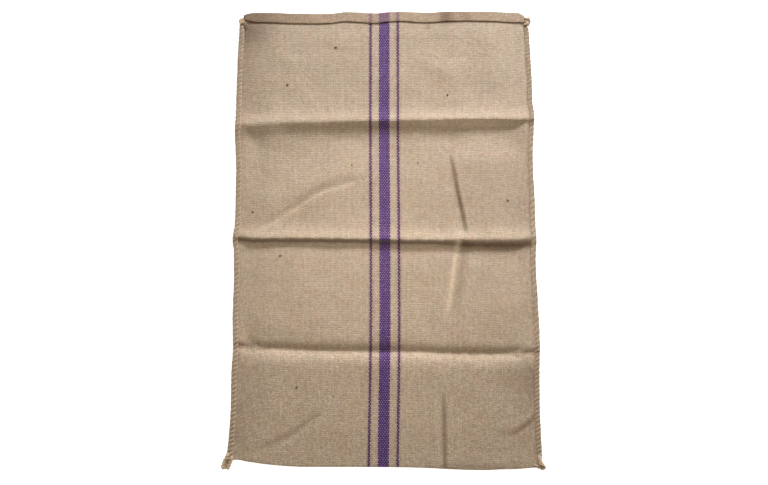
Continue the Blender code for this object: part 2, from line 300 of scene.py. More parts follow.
# Lines across the sack, from its mouth to its bottom
MOUTH_LINE = {
    "x": (
        -340, -334, -329, -319, -300, -261, -227, -193, -159, -125, -91, -57, -23, 11, 45, 79, 113,
        147, 215, 249, 283, 302, 322, 327, 331, 336, 341,
    ),
    "y": (
        535.5, 539.2, 541.0, 543.1, 542.8, 540.6, 538.8, 538.6, 537.8, 538.7, 542.8, 541.4, 539.5,
        542.4, 543.3, 542.0, 541.2, 543.5, 543.8, 543.6, 543.5, 543.5, 543.7, 543.0, 540.8, 537.7,
        532.5,
    ),
}
CREASE_LINES = (
    {
        "x": (-340, -246, -153, -74, 0, 100, 246, 348),
        "y": (263.0, 268.0, 269.5, 272.0, 273.0, 274.5, 277.0, 277.5),
    },
    {"x": (-349, -150, 0, 87, 166, 241, 354), "y": (-6.0, -7.2, -9.6, -11.6, -11.0, -9.6, -9.4)},
    {
        "x": (-346, -290, -238, -148, -80, 0, 85, 130, 237, 355),
        "y": (-264.0, -266.5, -269.0, -272.5, -273.6, -274.4, -275.2, -278.0, -280.6, -278.6),
    },
)
BOTTOM_LINE = {
    "x": (
        -352, -344, -335, -326, -317, -299, -276, -244, -212, -180, -53, 10, 74, 106, 137, 169, 201,
        232, 264, 296, 319, 332, 346, 356,
    ),
    "y": (
        -523.1, -522.9, -521.0, -521.5, -523.4, -525.8, -529.2, -532.5, -534.7, -536.0, -536.1, -536.4,
        -537.6, -538.7, -540.5, -541.9, -543.0, -543.1, -541.6, -541.0, -539.8, -539.3, -539.1, -538.1,
    ),
}
LINES = (MOUTH_LINE, *CREASE_LINES, BOTTOM_LINE)
CORNER_Y = 546.0


def line(table, x):
    """Place along the sack of a line that crosses it."""
    return curve(table["x"], table["y"], x)


def left_side(y):
    """X of the line that the left seam is wound round."""
    corner = curve(LEFT_CORNER["y"], LEFT_CORNER["inset"], y)
    return curve(LEFT_SIDE["y"], LEFT_SIDE["x"], y) + SEAM_OUTSIDE + corner


def right_side(y):
    """X of the line that the right seam is wound round."""
    inset = curve(RIGHT_CORNER["y"], RIGHT_CORNER["inset"], y)
    return curve(RIGHT_SIDE["y"], RIGHT_SIDE["x"], y) - SEAM_OUTSIDE - inset


widths = [float(right_side(y) - left_side(y)) for y in (-400, 0, 400)]
print("width between the seams at three places, mm:", [round(w, 1) for w in widths])

# %% [markdown]
# ## Heights: ridges, troughs and ripples
#
# The front ply lies a little above the back one, because creased cloth never lies quite flat. Each crease
# has a profile: how high the cloth stands at a distance before and behind it. The first two creases also
# lean over towards the bottom, as a fold does that was pressed and then opened. Smaller slack folds are
# troughs along a path, each with a steep side and a gentle one. Last come ripples, a sum of many
# weak plane waves in all directions, which is a cheap way to make an uneven surface that never repeats.

# %% Profiles of the creases
# A profile gives heights at distances beyond a crease, towards the mouth: in the middle of the sack and at
# the stitched seams. "lean" is how far the cloth leans over there. "stretch" widens what lies below the
# crease at places across the sack. "dust" lists bells of the distance by their middle, width and
# strength: more than none is painted shade, less than none is painted light on a lit slope.
CREASE_SHAPES = (
    {
        "distance": (-140, -118, -92, -65, -50, -42, -34, -28, -22, -18, -13, -8, -3, 0, 14, 30, 60),
        "height": (
            0.0, -1.6, -5.0, -8.0, -8.9, -8.7, -7.9, -6.8, -5.1, -3.0, 0.0, 3.2, 6.6, 7.6, 5.0, 1.4,
            0.0,
        ),
        "at_seam": (0.0, 0.0, 0.0, 0.0, 0.0, 0.0, 0.1, 0.3, 0.7, 1.2, 2.2, 3.9, 5.6, 6.2, 4.4, 1.4, 0.0),
        "lean": (0.0, 0.0, 0.0, 0.0, 0.1, 0.2, 0.3, 0.4, 0.6, 0.9, 1.3, 1.8, 2.2, 2.4, 1.4, 0.5, 0.0),
        "stretch": ((-345, -290, -240, -150, -60, 60, 200, 350), (1.7, 1.5, 1.3, 1.1, 1.0, 1.0, 0.8, 0.74)),
        "dust": ((-14.0, 9.0, 0.14), (10.0, 9.0, -0.22)),
    },
    {
        "distance": (-80, -42, -24, -15, -11, -6, -2, 0, 14, 30, 60),
        "height": (0.0, -2.6, -5.4, -7.4, -7.0, 0.6, 6.8, 7.8, 4.6, 1.2, 0.0),
        "at_seam": (0.0, 0.0, 0.0, 0.1, 0.5, 3.0, 5.6, 6.2, 4.2, 1.4, 0.0),
        "lean": (0.0, 0.2, 0.5, 0.9, 1.2, 4.0, 5.2, 5.6, 3.4, 1.1, 0.0),
        "stretch": ((-350, 100, 210, 350), (1.0, 1.0, 1.7, 2.0)),
        "dust": ((-7.5, 6.0, 0.80), (9.0, 10.0, -0.28)),
    },
    {
        "distance": (-110, -60, -38, -28, -18, -9, -3, 0, 4, 10, 18, 30, 46, 70),
        "height": (0.0, 0.6, 0.5, -0.5, -3.0, -6.8, -9.8, -10.5, -9.0, -5.4, -2.3, -0.6, -0.1, 0.0),
        "at_seam": (0.0, 0.8, 1.8, 2.4, 2.4, 1.2, 0.2, 0.0, 1.2, 2.8, 3.0, 2.0, 1.0, 0.0),
        "lean": (0.0,) * 14,
        "stretch": ((-350, 350), (1.0, 1.0)),
        "dust": ((6.0, 7.0, 0.26), (-10.0, 8.0, -0.40), (-50.0, 30.0, 0.10)),
    },
)


# Height, length and phase of the sines that make a crease wavy
WOBBLES = ((0.55, 37.0, 1.0), (0.45, 21.0, 2.0))


def wobble(x):
    """A millimetre of waviness in a crease: a sum of sines of the place across the sack."""
    return sum(height * np.sin(2 * math.pi * x / length + phase) for height, length, phase in WOBBLES)


def off_crease(place, shape, x, y):
    """Distance beyond a wavy crease, shortened below it where its profile is stretched."""
    off = y - line(place, x) - wobble(x)
    return np.where(off < 0, off / curve(*shape["stretch"], x), off)


def crease_sum(x, y, column):
    """What the creases add at a point, read from one column of their profiles."""
    total = np.zeros_like(x * y)
    for place, shape in zip(CREASE_LINES, CREASE_SHAPES):
        total += curve(shape["distance"], shape[column], off_crease(place, shape, x, y))
    return total


def crease_dust(x, y):
    """Painted shading of the creases: each one's bells of the distance beyond it, times their strengths."""
    total = np.zeros_like(x * y)
    for place, shape in zip(CREASE_LINES, CREASE_SHAPES):
        for middle, width, strength in shape["dust"]:
            total += strength * bell(off_crease(place, shape, x, y) - middle, width)
    return total


print("heights of the creases, mm:", [max(shape["height"]) for shape in CREASE_SHAPES])


# %% Slack folds
# Each path runs down the cloth (y, x) or across it (x, y), with the trough's depth and the widths of its
# sides: before is the side of smaller numbers across the path, behind the other. "dust" lists
# bells of the distance beside the path, by their middle, width and strength: more than none is painted
# shade, less than none painted light.
DOWN_FOLDS = (
    {
        "y": (-20, 0, 9, 57, 105, 140, 168, 185, 205),
        "x": (189, 188.4, 187.7, 178.6, 169, 163, 158, 155, 152),
        "depth": (0.0, 2.4, 7.0, 8.4, 7.6, 6.0, 3.6, 1.2, 0.0),
        "before": 30.0,
        "behind": 10.0,
        "dust": ((4.6, 5.0, 0.52), (13.0, 4.0, -0.15), (-12.0, 14.0, 0.06)),
    },
    {
        "y": (-205, -185, -170, -145, -121, -67, -28, -12),
        "x": (147, 151, 154.3, 158.8, 163, 170.5, 177.3, 178.4),
        "depth": (0.0, 1.8, 2.8, 3.4, 3.8, 4.4, 4.4, 3.6),
        "before": 15.0,
        "behind": 28.0,
        "dust": ((-5.5, 6.5, -1.0), (15.0, 13.0, 0.24)),
    },
    {
        "y": (-550, -534, -480, -430, -397, -370),
        "x": (138.5, 138, 137, 136.5, 136, 135.5),
        "depth": (1.0, 2.4, 3.0, 3.0, 2.0, 0.0),
        "before": 9.0,
        "behind": 8.0,
        "dust": ((0.5, 6.4, 0.62), (-9.0, 4.5, -0.15), (11.0, 4.5, -0.10)),
    },
)
ACROSS_FOLDS = (
    {
        "x": (-300, -272, -198, -139, -76, -40),
        "y": (15, 23, 68, 104, 121, 128),
        "depth": (0.0, 2.0, 3.6, 3.8, 2.4, 0.0),
        "before": 10.0,
        "behind": 22.0,
        "dust": ((-5.0, 3.5, -0.30), (8.0, 6.0, 0.05)),
    },
    {
        "x": (-300, -277, -214, -162, -130),
        "y": (-500, -494, -467, -431, -410),
        "depth": (0.0, 2.4, 3.8, 3.0, 0.0),
        "before": 22.0,
        "behind": 24.0,
        "dust": ((-11.0, 7.0, -0.22), (5.0, 8.0, 0.34)),
    },
    {
        "x": (248, 270, 296, 312, 338, 352),
        "y": (-459, -462, -463, -455, -435, -424),
        "depth": (0.0, 1.0, 1.8, 2.4, 2.4, 1.0),
        "before": 12.0,
        "behind": 16.0,
        "dust": ((-8.0, 6.0, -0.15), (5.0, 8.0, 0.46), (22.0, 8.0, -0.20)),
    },
)


def trough(along, across, path, down):
    """Height and painted shading of a soft trough along a path.

    The height is the depth times one less the smooth rise over the width of each side. The painted shading
    is a sum of bells of the distance to lines beside the path, as strong as the trough is deep there. Less
    than none is painted light.
    """
    places, middle = (path["y"], path["x"]) if down else (path["x"], path["y"])
    off = across - curve(places, middle, along)
    width = np.where(off < 0, path["before"], path["behind"])
    inside = (along >= places[0]) & (along <= places[-1])
    depth = curve(places, path["depth"], along) * inside
    bells = sum(strength * bell(off - aside, reach) for aside, reach, strength in path["dust"])
    return -depth * (1.0 - smooth(np.abs(off) / width)), bells * depth / max(path["depth"])


def all_troughs(x, y):
    """Height and painted shading of every slack fold at a point."""
    return [trough(y, x, f, True) for f in DOWN_FOLDS] + [trough(x, y, f, False) for f in ACROSS_FOLDS]


def slack_folds(x, y):
    """What the slack folds add to the height, never more than none."""
    return sum(height for height, _ in all_troughs(x, y))


print("slack folds:", len(DOWN_FOLDS), "down the sack and", len(ACROSS_FOLDS), "across it")

# %% Painted shade and light
# The painted shadow under the hem, and painted shade on places of the front: x, y, half sizes and strength,
# below zero painted light
# A painted shadow in a thin line just below the hem's edge: its strength, how far below and how wide
HEM_SHADOW = 0.55
HEM_SHADOW_AT = 1.0
HEM_SHADOW_WIDTH = 2.4
PAINTED_SHADE_AND_LIGHT = (
    (-330.0, 495.0, 60.0, 40.0, 0.55),
    (-338.0, 400.0, 32.0, 130.0, 0.25),
    (-342.0, -261.0, 28.0, 5.5, 0.35),
    (344.0, -276.0, 26.0, 5.5, 0.30),
    (-335.0, -395.0, 40.0, 60.0, 0.12),
    (330.0, -330.0, 60.0, 45.0, 0.22),
    (345.0, -440.0, 60.0, 70.0, 0.16),
    (-345.0, -440.0, 45.0, 80.0, 0.12),
    (-60.0, -500.0, 260.0, 30.0, 0.06),
    (200.0, -536.0, 100.0, 7.0, 0.40),
    (10.0, -395.0, 110.0, 70.0, -0.10),
    (-345.0, 60.0, 40.0, 60.0, 0.14),
    (345.0, 60.0, 50.0, 70.0, 0.14),
    (-20.0, 70.0, 110.0, 70.0, -0.12),
    (205.0, 273.0, 150.0, 13.0, -0.45),
    (235.0, 264.0, 115.0, 7.0, -0.55),
    (250.0, -38.0, 60.0, 16.0, 0.28),
    (345.0, -365.0, 35.0, 45.0, 0.16),
    (150.0, 517.0, 19.0, 7.0, 0.45),
    (106.0, 507.0, 6.0, 13.0, 0.32),
    (330.0, 238.0, 50.0, 22.0, 0.16),
    (60.0, 400.0, 190.0, 80.0, -0.05),
)
# Darker places on the turned hem: x, half size and strength
HEM_DARKER_PLACES = ((-325.0, 70.0, 0.58), (150.0, 19.0, 0.62), (197.0, 12.0, 0.28), (-215.0, 40.0, 0.16))


def front_dust(x, y):
    """All the painted shading on the front: in the creases, in the troughs, under the hem and in the places
    listed.
    """
    total = crease_dust(x, y) + sum(dust for _, dust in all_troughs(x, y))
    # The painted shadow just below the hem's edge
    below_hem = line(MOUTH_LINE, x) - y - HEM_DEPTH
    total += HEM_SHADOW * bell(below_hem - HEM_SHADOW_AT, HEM_SHADOW_WIDTH)
    for at_x, at_y, half_x, half_y, strength in PAINTED_SHADE_AND_LIGHT:
        total += strength * bell(x - at_x, half_x) * bell(y - at_y, half_y)
    return np.clip(total, -1.0, 1.0)


def hem_dust(x):
    """Darkening on the hem: a bell of the distance across the sack for each darker place."""
    return sum(strength * bell(x - at_x, half_x) for at_x, half_x, strength in HEM_DARKER_PLACES)


print("darker and lighter places:", len(PAINTED_SHADE_AND_LIGHT) + len(HEM_DARKER_PLACES))

# %% Ripples
RIPPLE_SEED = 7
RIPPLE_COUNT = 90
RIPPLE_LENGTHS = (17.0, 150.0)
RIPPLE_SLOPE = 0.0078

BROAD_WAVES = (
    {"across": 2.3, "along": 3.1, "phase": 0.4, "height": 0.55},
    {"across": -3.4, "along": 4.7, "phase": 2.1, "height": 0.35},
    {"across": 6.1, "along": 2.2, "phase": 4.0, "height": 0.25},
)

random = np.random.default_rng(RIPPLE_SEED)
ripple_length = np.exp(random.uniform(*np.log(RIPPLE_LENGTHS), RIPPLE_COUNT))
ripple_heading = random.uniform(0.0, math.pi, RIPPLE_COUNT)
ripple_phase = random.uniform(0.0, 2 * math.pi, RIPPLE_COUNT)


def ripples(x, y):
    """Sum of sines, each as high as its length times one small slope, over two pi."""
    height = np.zeros_like(x)
    for length, heading, phase in zip(ripple_length, ripple_heading, ripple_phase):
        turns = (x * math.cos(heading) + y * math.sin(heading)) / length
        height += RIPPLE_SLOPE * length / (2 * math.pi) * np.sin(2 * math.pi * turns + phase)
    return height


def broad_waves(x, y):
    """Sum of sines, with so many turns in a metre across and along the sack."""
    height = np.zeros_like(x)
    for wave in BROAD_WAVES:
        turns = (x * wave["across"] + y * wave["along"]) / METRE
        height += wave["height"] * np.sin(2 * math.pi * turns + wave["phase"])
    return height


sample_x, sample_y = np.meshgrid(np.linspace(-300, 300, 200), np.linspace(-500, 500, 300))
print(f"ripples are {ripples(sample_x, sample_y).std():.2f} mm high on average")

# %% [markdown]
# ## Height of the two plies
#
# Each ply blends between heights: its own level in the middle, the level of the stitched selvedge at the
# sides, the level of the fold at the bottom and of the hem at the mouth. Blending with a smooth rise
# keeps the surface free of kinks. Near the overcast stitches the cloth is drawn into small puckers.

# %% Ply heights
FRONT_RISE_WIDTH = 85.0
CREASE_RISE_WIDTH = 16.0
BACK_RISE_WIDTH = 35.0
BOTTOM_RISE_LENGTH = 230.0
MOUTH_RISE_LENGTH = 75.0
HEM_RISE_START = 62.0
HEM_RISE_END = 32.0
PUCKER_HEIGHT = 0.5
PUCKER_REACH = 16.0
PUCKER_RISE = 6.0
PUCKER_PITCH = 23.0
PUCKER_SLANT = 0.5
PUCKER_DRIFT = 2.2
PUCKER_DRIFT_PITCH = 61.0
GROOVE_DEPTH = 0.7
GROOVE_WIDTH = 4.0
RIPPLE_FADE = 30.0
BACK_RIPPLE_SHARE = 0.5
BACK_WAVE_SHARE = 0.2
BACK_FADE_MOUTH = 40.0
BACK_FADE_BOTTOM = 60.0
PLY_EASE = 1.0
SELVEDGE_LEVEL = SEAM_WALL + SEAM_CLEARANCE + CLOTH_THICKNESS / 2


def at_seam_level(x, y):
    """Height of the middle of the back ply at the stitched selvedges, which follow the creases."""
    return SELVEDGE_LEVEL + crease_sum(x, y, "at_seam")


def larger(first, second, ease):
    """The larger of two heights, eased where they meet: half their sum plus half an eased difference."""
    return (first + second + np.sqrt((first - second) ** 2 + ease**2)) / 2


def puckers(x, y, from_side):
    """Short waves along the seam that fade away from it, less the groove that the stitches press.

    A wave is a sine of the place along the seam, times a smooth rise and then an exponential fall with
    the distance from it. The groove is a bell of that distance.
    """
    past = np.maximum(from_side - SEAM_FLAT, 0.0)
    drift = PUCKER_DRIFT * np.sin(y / PUCKER_DRIFT_PITCH)
    wave = np.sin(2 * math.pi * (y + PUCKER_SLANT * past) / PUCKER_PITCH + drift + np.sign(x))
    groove = GROOVE_DEPTH * bell(from_side - SEAM_FLAT, GROOVE_WIDTH)
    return PUCKER_HEIGHT * wave * smooth(past / PUCKER_RISE) * np.exp(-past / PUCKER_REACH) - groove


def back_height(x, y, from_side):
    """Middle of the back ply: on the surface, lifted at the seams and over its own hem."""
    from_mouth = line(MOUTH_LINE, x) - y
    hem = 2 * LAYER_STEP * smooth((HEM_RISE_START - from_mouth) / (HEM_RISE_START - HEM_RISE_END))
    waves = np.abs(ripples(-x, y)) + BACK_WAVE_SHARE * np.abs(broad_waves(-x, y))
    near_mouth = smooth((from_mouth - HEM_RISE_START) / BACK_FADE_MOUTH)
    uneven = BACK_RIPPLE_SHARE * waves * near_mouth * smooth((y - line(BOTTOM_LINE, x)) / BACK_FADE_BOTTOM)
    share = smooth((from_side - SEAM_FLAT) / BACK_RISE_WIDTH)
    return mix(at_seam_level(x, y), BACK_LEVEL + hem + uneven, share)


def front_height(x, y, from_side):
    """Middle of the front ply: panels between the creases, drawn down at the seams and the fold."""
    from_mouth = line(MOUTH_LINE, x) - y
    from_bottom = y - line(BOTTOM_LINE, x)
    mouth_share = smooth(from_mouth / MOUTH_RISE_LENGTH)
    bottom_share = smooth(from_bottom / BOTTOM_RISE_LENGTH)
    panel = PANEL_LEVEL + broad_waves(x, y) + slack_folds(x, y)
    panel += ripples(x, y) * smooth(from_mouth / RIPPLE_FADE) * smooth(from_bottom / RIPPLE_FADE)
    panel = mix(FOLD_LEVEL, mix(MOUTH_LEVEL, panel, mouth_share), bottom_share)
    at_seam = SELVEDGE_LEVEL + CLOTH_THICKNESS + SEAM_PLY_GAP
    level = mix(at_seam, panel, smooth((from_side - SEAM_FLAT) / FRONT_RISE_WIDTH))
    inner = smooth((from_side - SEAM_FLAT) / CREASE_RISE_WIDTH)
    level += mix(crease_sum(x, y, "at_seam"), crease_sum(x, y, "height"), inner)
    lowest = back_height(x, y, from_side) + CLOTH_THICKNESS + SEAM_PLY_GAP
    return larger(level, lowest, PLY_EASE * inner) + puckers(x, y, from_side)


middle_height = front_height(np.array([[0.0]]), np.array([[150.0]]), np.array([[350.0]]))
print(f"the front ply lies {middle_height[0, 0]:.1f} mm up in the middle of its second panel")

# %% [markdown]
# ## The cloth as one grid
#
# The whole length of cloth is a single grid: its columns run along the warp and its rows across, from the
# raw edge inside the front hem, over the mouth, down the front ply, round the bottom fold, up the back
# ply and into the back hem. A row is placed between two of the sack's lines and a column between its two
# sides, so both follow the outline. Rows crowd together at the creases and columns at the seams.

# %% Rows and columns
COLUMN_COUNT = 128
FRONT_ROW_COUNT = 252
BACK_ROW_COUNT = 68
# Places down the front ply, counted from the mouth: the mouth itself, three creases and the bottom fold
NOMINAL_LINES = (0.0, 269.0, 559.0, 813.0, 1083.0)
FOLD_ROW = (FOLD_LEVEL - CLOTH_THICKNESS / 2) / 2
MOUTH_ROW = 1.9
TURNED_IN = 5.0
FOLD_STEPS = 5
OUTER_HEM_ROWS = 8
INNER_HEM_ROWS = 3
HEM_WAVE = 0.8
HEM_WAVE_PITCH = 29.0
HEM_DRIFT = 1.4
HEM_DRIFT_PITCH = 83.0
HEM_TAPER = {"x": (-340, -332, -317, -296, 318, 330, 341), "share": (0.46, 0.66, 0.92, 1.0, 1.0, 0.86, 0.52)}

# Where columns crowd: at both seams and over the slack folds on the right
COLUMN_CROWDS = ((0.0, 0.05, 1.2), (1.0, 0.05, 1.2), (0.725, 0.055, 1.9))

column_share = spread(0.0, 1.0, COLUMN_COUNT, COLUMN_CROWDS)


def column_at(y):
    """X of the columns where a line at a place y along the sack meets them."""
    return mix(left_side(y) + SEAM_SLACK, right_side(y) - SEAM_SLACK, column_share)


mouth_x = column_at(CORNER_Y)
bottom_x = column_at(BOTTOM_LINE["y"][0])
lines_across = np.array(
    [line(MOUTH_LINE, mouth_x)]
    + [line(table, column_at(float(np.mean(table["y"])))) for table in CREASE_LINES]
    + [line(BOTTOM_LINE, bottom_x)]
)


def row_lines(distances):
    """Y of every point of rows at nominal distances from the mouth, each between two of the lines."""
    number = np.clip(np.searchsorted(NOMINAL_LINES, distances, side="right") - 1, 0, len(LINES) - 2)
    starts, ends = np.take(NOMINAL_LINES, number), np.take(NOMINAL_LINES, number + 1)
    share = ((distances - starts) / (ends - starts))[:, None]
    return mix(lines_across[number], lines_across[number + 1], share)


def ply_points(y, height, width_at=None):
    """X, Y and Z of rows of a ply: X between its sides there, Z from the ply's height."""
    sides_at = y if width_at is None else np.full_like(y, width_at)
    left, right = left_side(sides_at) + SEAM_SLACK, right_side(sides_at) - SEAM_SLACK
    x = mix(left, right, column_share[None, :])
    from_side = np.minimum(x - left_side(y), right_side(y) - x) - SEAM_SLACK
    return np.stack([x, y, height(x, y, from_side)], axis=2), from_side


def turned(before, first, second):
    """Half a circle of rows from the end of one layer to the start of the next.

    Each row is the middle, plus the way to the first row times a cosine, plus the radius outwards
    times a sine. Outwards is the way in which the layer ran.
    """
    centre = (first + second) / 2
    radius = np.linalg.norm(first - second, axis=1) / 2
    outward = np.zeros_like(centre)
    outward[:, 1] = np.sign(first[:, 1] - before[:, 1]) * radius
    angle = np.linspace(0.0, math.pi, FOLD_STEPS + 2)[1:-1, None, None]
    return centre + (first - centre) * np.cos(angle) + outward * np.sin(angle)


print("columns:", COLUMN_COUNT, "rows of the front:", FRONT_ROW_COUNT, "and of the back:", BACK_ROW_COUNT)

# %% Layers of the cloth, end to end
LEAN_RISE = 60.0
FRONT_STRIP = 4
# Where rows crowd: under the hem, at the three creases and at the bottom fold
FRONT_CROWDS = ((30, 12, 0.5), (275, 24, 1.6), (562, 20, 2.2), (810, 24, 1.3), (NOMINAL_LINES[-1], 16, 0.6))
BACK_CROWDS = ((NOMINAL_LINES[-1], 40, 1.0),)


def hem_layer(height, rise, start, end, count):
    """Rows of one layer of a hem at distances from the mouth, raised above its ply, gently waved."""
    distances = np.linspace(start, end, count)[:, None]
    drift = HEM_DRIFT * np.sin(mouth_x / HEM_DRIFT_PITCH)
    wave = HEM_WAVE * np.sin(mouth_x / HEM_WAVE_PITCH + drift) * smooth(distances / HEM_DEPTH)
    share = curve(HEM_TAPER["x"], HEM_TAPER["share"], mouth_x)
    y = lines_across[0] - distances * share + wave
    points, _ = ply_points(y, height, CORNER_Y)
    points[..., 2] += rise
    return points


def lean_over(points):
    """Carries the ridges a little towards the bottom of the sack, so that they overhang."""
    x, y = points[..., 0], points[..., 1]
    inner = smooth(np.minimum(x - left_side(y), right_side(y) - x) / LEAN_RISE)
    points[..., 1] -= crease_sum(x, y, "lean") * inner
    return points


front_places = spread(MOUTH_ROW, NOMINAL_LINES[-1] - FOLD_ROW, FRONT_ROW_COUNT, FRONT_CROWDS)
back_places = spread(FOLD_ROW, NOMINAL_LINES[-1] - MOUTH_ROW, BACK_ROW_COUNT, BACK_CROWDS)
back_share = (back_places / NOMINAL_LINES[-1])[:, None]
back_y = mix(lines_across[-1], lines_across[0], back_share)

front_ply, _ = ply_points(row_lines(front_places), front_height)
row_x, row_y = front_ply[..., 0], front_ply[..., 1].copy()
back_ply, _ = ply_points(back_y, back_height)
front_ply = lean_over(front_ply)
layers = [
    hem_layer(front_height, LAYER_STEP, TURNED_IN, HEM_DEPTH, INNER_HEM_ROWS),
    hem_layer(front_height, 2 * LAYER_STEP, HEM_DEPTH, MOUTH_ROW, OUTER_HEM_ROWS),
    front_ply,
    back_ply,
    hem_layer(back_height, -2 * LAYER_STEP, MOUTH_ROW, HEM_DEPTH, OUTER_HEM_ROWS),
    hem_layer(back_height, -LAYER_STEP, HEM_DEPTH, TURNED_IN, INNER_HEM_ROWS),
]
strips = [layers[0]]
for layer in layers[1:]:
    last = strips[-1]
    strips += [turned(last[-2], last[-1], layer[0]), layer]
cloth_points = np.concatenate(strips)
mouth_row = sum(len(strip) for strip in strips[:FRONT_STRIP])
print("rows and columns of the cloth:", cloth_points.shape[:2])

# %% [markdown]
# ## Flat coordinates for the weave
#
# A weave has to follow its cloth round every fold without stretching. So each point gets two flat
# coordinates, in metres: how far it lies from the middle stripe, and how far along the cloth. The second
# is the length of the way along its own column, added up from point to point. They go into a UV map, and
# the stripes wander by a few millimetres because the cloth was never laid dead straight.

# %% Lay out the flat coordinates
STRIPE_Y = (-520, -191, 36, 269, 510)
STRIPE_X = (-1.8, 2.3, 1.8, 0.3, 0.3)

stride = np.linalg.norm(np.diff(cloth_points, axis=0), axis=2)
travelled = np.concatenate([np.zeros((1, COLUMN_COUNT)), np.cumsum(stride, axis=0)])
along = travelled - travelled[mouth_row] - cloth_points[mouth_row, :, 1]
across = cloth_points[..., 0] - curve(STRIPE_Y, STRIPE_X, cloth_points[..., 1])
cloth_uv = np.stack([across, along], axis=2) * MM


# %% [markdown]
# ## From a grid of points to a mesh
#
# Every new piece here is a grid of points, so one function makes them all: it writes the points, joins
# neighbours into four-sided faces and stores the flat coordinates. Whole arrays go into the mesh at once,
# which takes a moment where a loop over vertices would take minutes.

# %% Grid to mesh
WEAVE_MAP = "weave"


def grid_faces(rows, columns, round_it=False):
    """Corner numbers of the four-sided faces of a grid, whose columns may close into a ring."""
    numbers = np.arange(rows * columns).reshape(rows, columns)
    if round_it:
        numbers = np.concatenate([numbers, numbers[:, :1]], axis=1)
    corners = (numbers[:-1, :-1], numbers[:-1, 1:], numbers[1:, 1:], numbers[1:, :-1])
    return np.stack(corners, axis=2).reshape(-1, 4)


def store(piece, name, values):
    """Keeps one number for each point in the mesh, where a material can read it."""
    attribute = piece.data.attributes.new(name, "FLOAT", "POINT")
    attribute.data.foreach_set("value", values.astype(np.float32).ravel())


def mesh_piece(name, points, faces, uv, material):
    """An object with a mesh of four-sided faces, its points in millimetres and its UV map in metres."""
    mesh = bpy.data.meshes.new(name)
    mesh.vertices.add(len(points))
    mesh.vertices.foreach_set("co", (points * MM).astype(np.float32).ravel())
    mesh.loops.add(faces.size)
    mesh.loops.foreach_set("vertex_index", faces.ravel().astype(np.int32))
    mesh.polygons.add(len(faces))
    mesh.polygons.foreach_set("loop_start", np.arange(0, faces.size, 4, dtype=np.int32))
    mesh.polygons.foreach_set("use_smooth", np.ones(len(faces), bool))
    mesh.update(calc_edges=True)
    layer = mesh.uv_layers.new(name=WEAVE_MAP)
    layer.data.foreach_set("uv", uv[faces.ravel()].astype(np.float32).ravel())
    mesh.materials.append(material)
    return link(bpy.data.objects.new(name, mesh))


print("faces in a grid of 3 by 4 points:", len(grid_faces(3, 4)))

# %% [markdown]
# ## Building node groups
#
# The weave and the colour of jute are used by several materials, so they become shader node groups.
# Wiring nodes one by one is long to read, so a small helper adds a node, plugs in sockets or numbers,
# and returns its output. A formula then reads almost as it would on paper.

# %% A helper for shader nodes


class Wiring:
    """Adds nodes to one node tree. A value may be a number, a tuple or another node's output."""

    def __init__(self, tree):
        self.tree = tree

    def plug(self, value, socket):
        """Links a node's output to a socket, or writes a constant there. None leaves it alone."""
        if isinstance(value, bpy.types.NodeSocket):
            self.tree.links.new(value, socket)
        elif value is not None:
            socket.default_value = value

    def node(self, kind, **settings):
        """A new node of a kind, with its settings."""
        made = self.tree.nodes.new(kind)
        for name, value in settings.items():
            setattr(made, name, value)
        return made

    def math(self, operation, *values):
        """One step of arithmetic. MULTIPLY_ADD is the first value times the second, plus the third."""
        made = self.node("ShaderNodeMath", operation=operation)
        for value, socket in zip(values, made.inputs):
            self.plug(value, socket)
        return made.outputs[0]

    def blend(self, share, first, second):
        """Mix of two numbers."""
        made = self.node("ShaderNodeMix", data_type="FLOAT")
        for value, socket in zip((share, first, second), (made.inputs[0], made.inputs[2], made.inputs[3])):
            self.plug(value, socket)
        return made.outputs[0]

    def tint(self, share, first, second, how="MIX"):
        """Mix of two colours."""
        made = self.node("ShaderNodeMix", data_type="RGBA", blend_type=how)
        for value, socket in zip((share, first, second), (made.inputs[0], made.inputs[6], made.inputs[7])):
            self.plug(value, socket)
        return made.outputs[2]

    def noise(self, vector, scale, detail=2.0, roughness=0.5, size="2D"):
        """Even noise, from 0 to 1 with a middle of one half."""
        made = self.node("ShaderNodeTexNoise", noise_dimensions=size)
        self.plug(vector, made.inputs["Vector"])
        for name, value in (("Scale", scale), ("Detail", detail), ("Roughness", roughness)):
            made.inputs[name].default_value = value
        return made.outputs["Fac"]

    def chance(self, vector):
        """A random number from 0 to 1 for each whole step of a vector."""
        made = self.node("ShaderNodeTexWhiteNoise", noise_dimensions="2D")
        self.plug(vector, made.inputs["Vector"])
        return made.outputs["Value"]

    def join(self, x, y, z=0.0):
        """A vector made from its numbers."""
        made = self.node("ShaderNodeCombineXYZ")
        for value, socket in zip((x, y, z), made.inputs):
            self.plug(value, socket)
        return made.outputs[0]

    def grey(self, value):
        """A colour with one number for red, green and blue."""
        return self.join(value, value, value)

    def split(self, vector):
        """The three numbers of a vector."""
        made = self.node("ShaderNodeSeparateXYZ")
        self.plug(vector, made.inputs[0])
        return made.outputs

    def remap(self, value, low, high, to_low=0.0, to_high=1.0):
        """A smooth rise or fall, from to_low at a low value to to_high at a high one."""
        made = self.node("ShaderNodeMapRange", interpolation_type="SMOOTHSTEP")
        for given, socket in zip((value, low, high, to_low, to_high), made.inputs):
            self.plug(given, socket)
        return made.outputs[0]

    def group(self, group, **values):
        """A placed node group, with its inputs named by words joined with underscores."""
        made = self.node("ShaderNodeGroup", node_tree=group)
        for name, value in values.items():
            self.plug(value, made.inputs[name.replace("_", " ")])
        return made.outputs


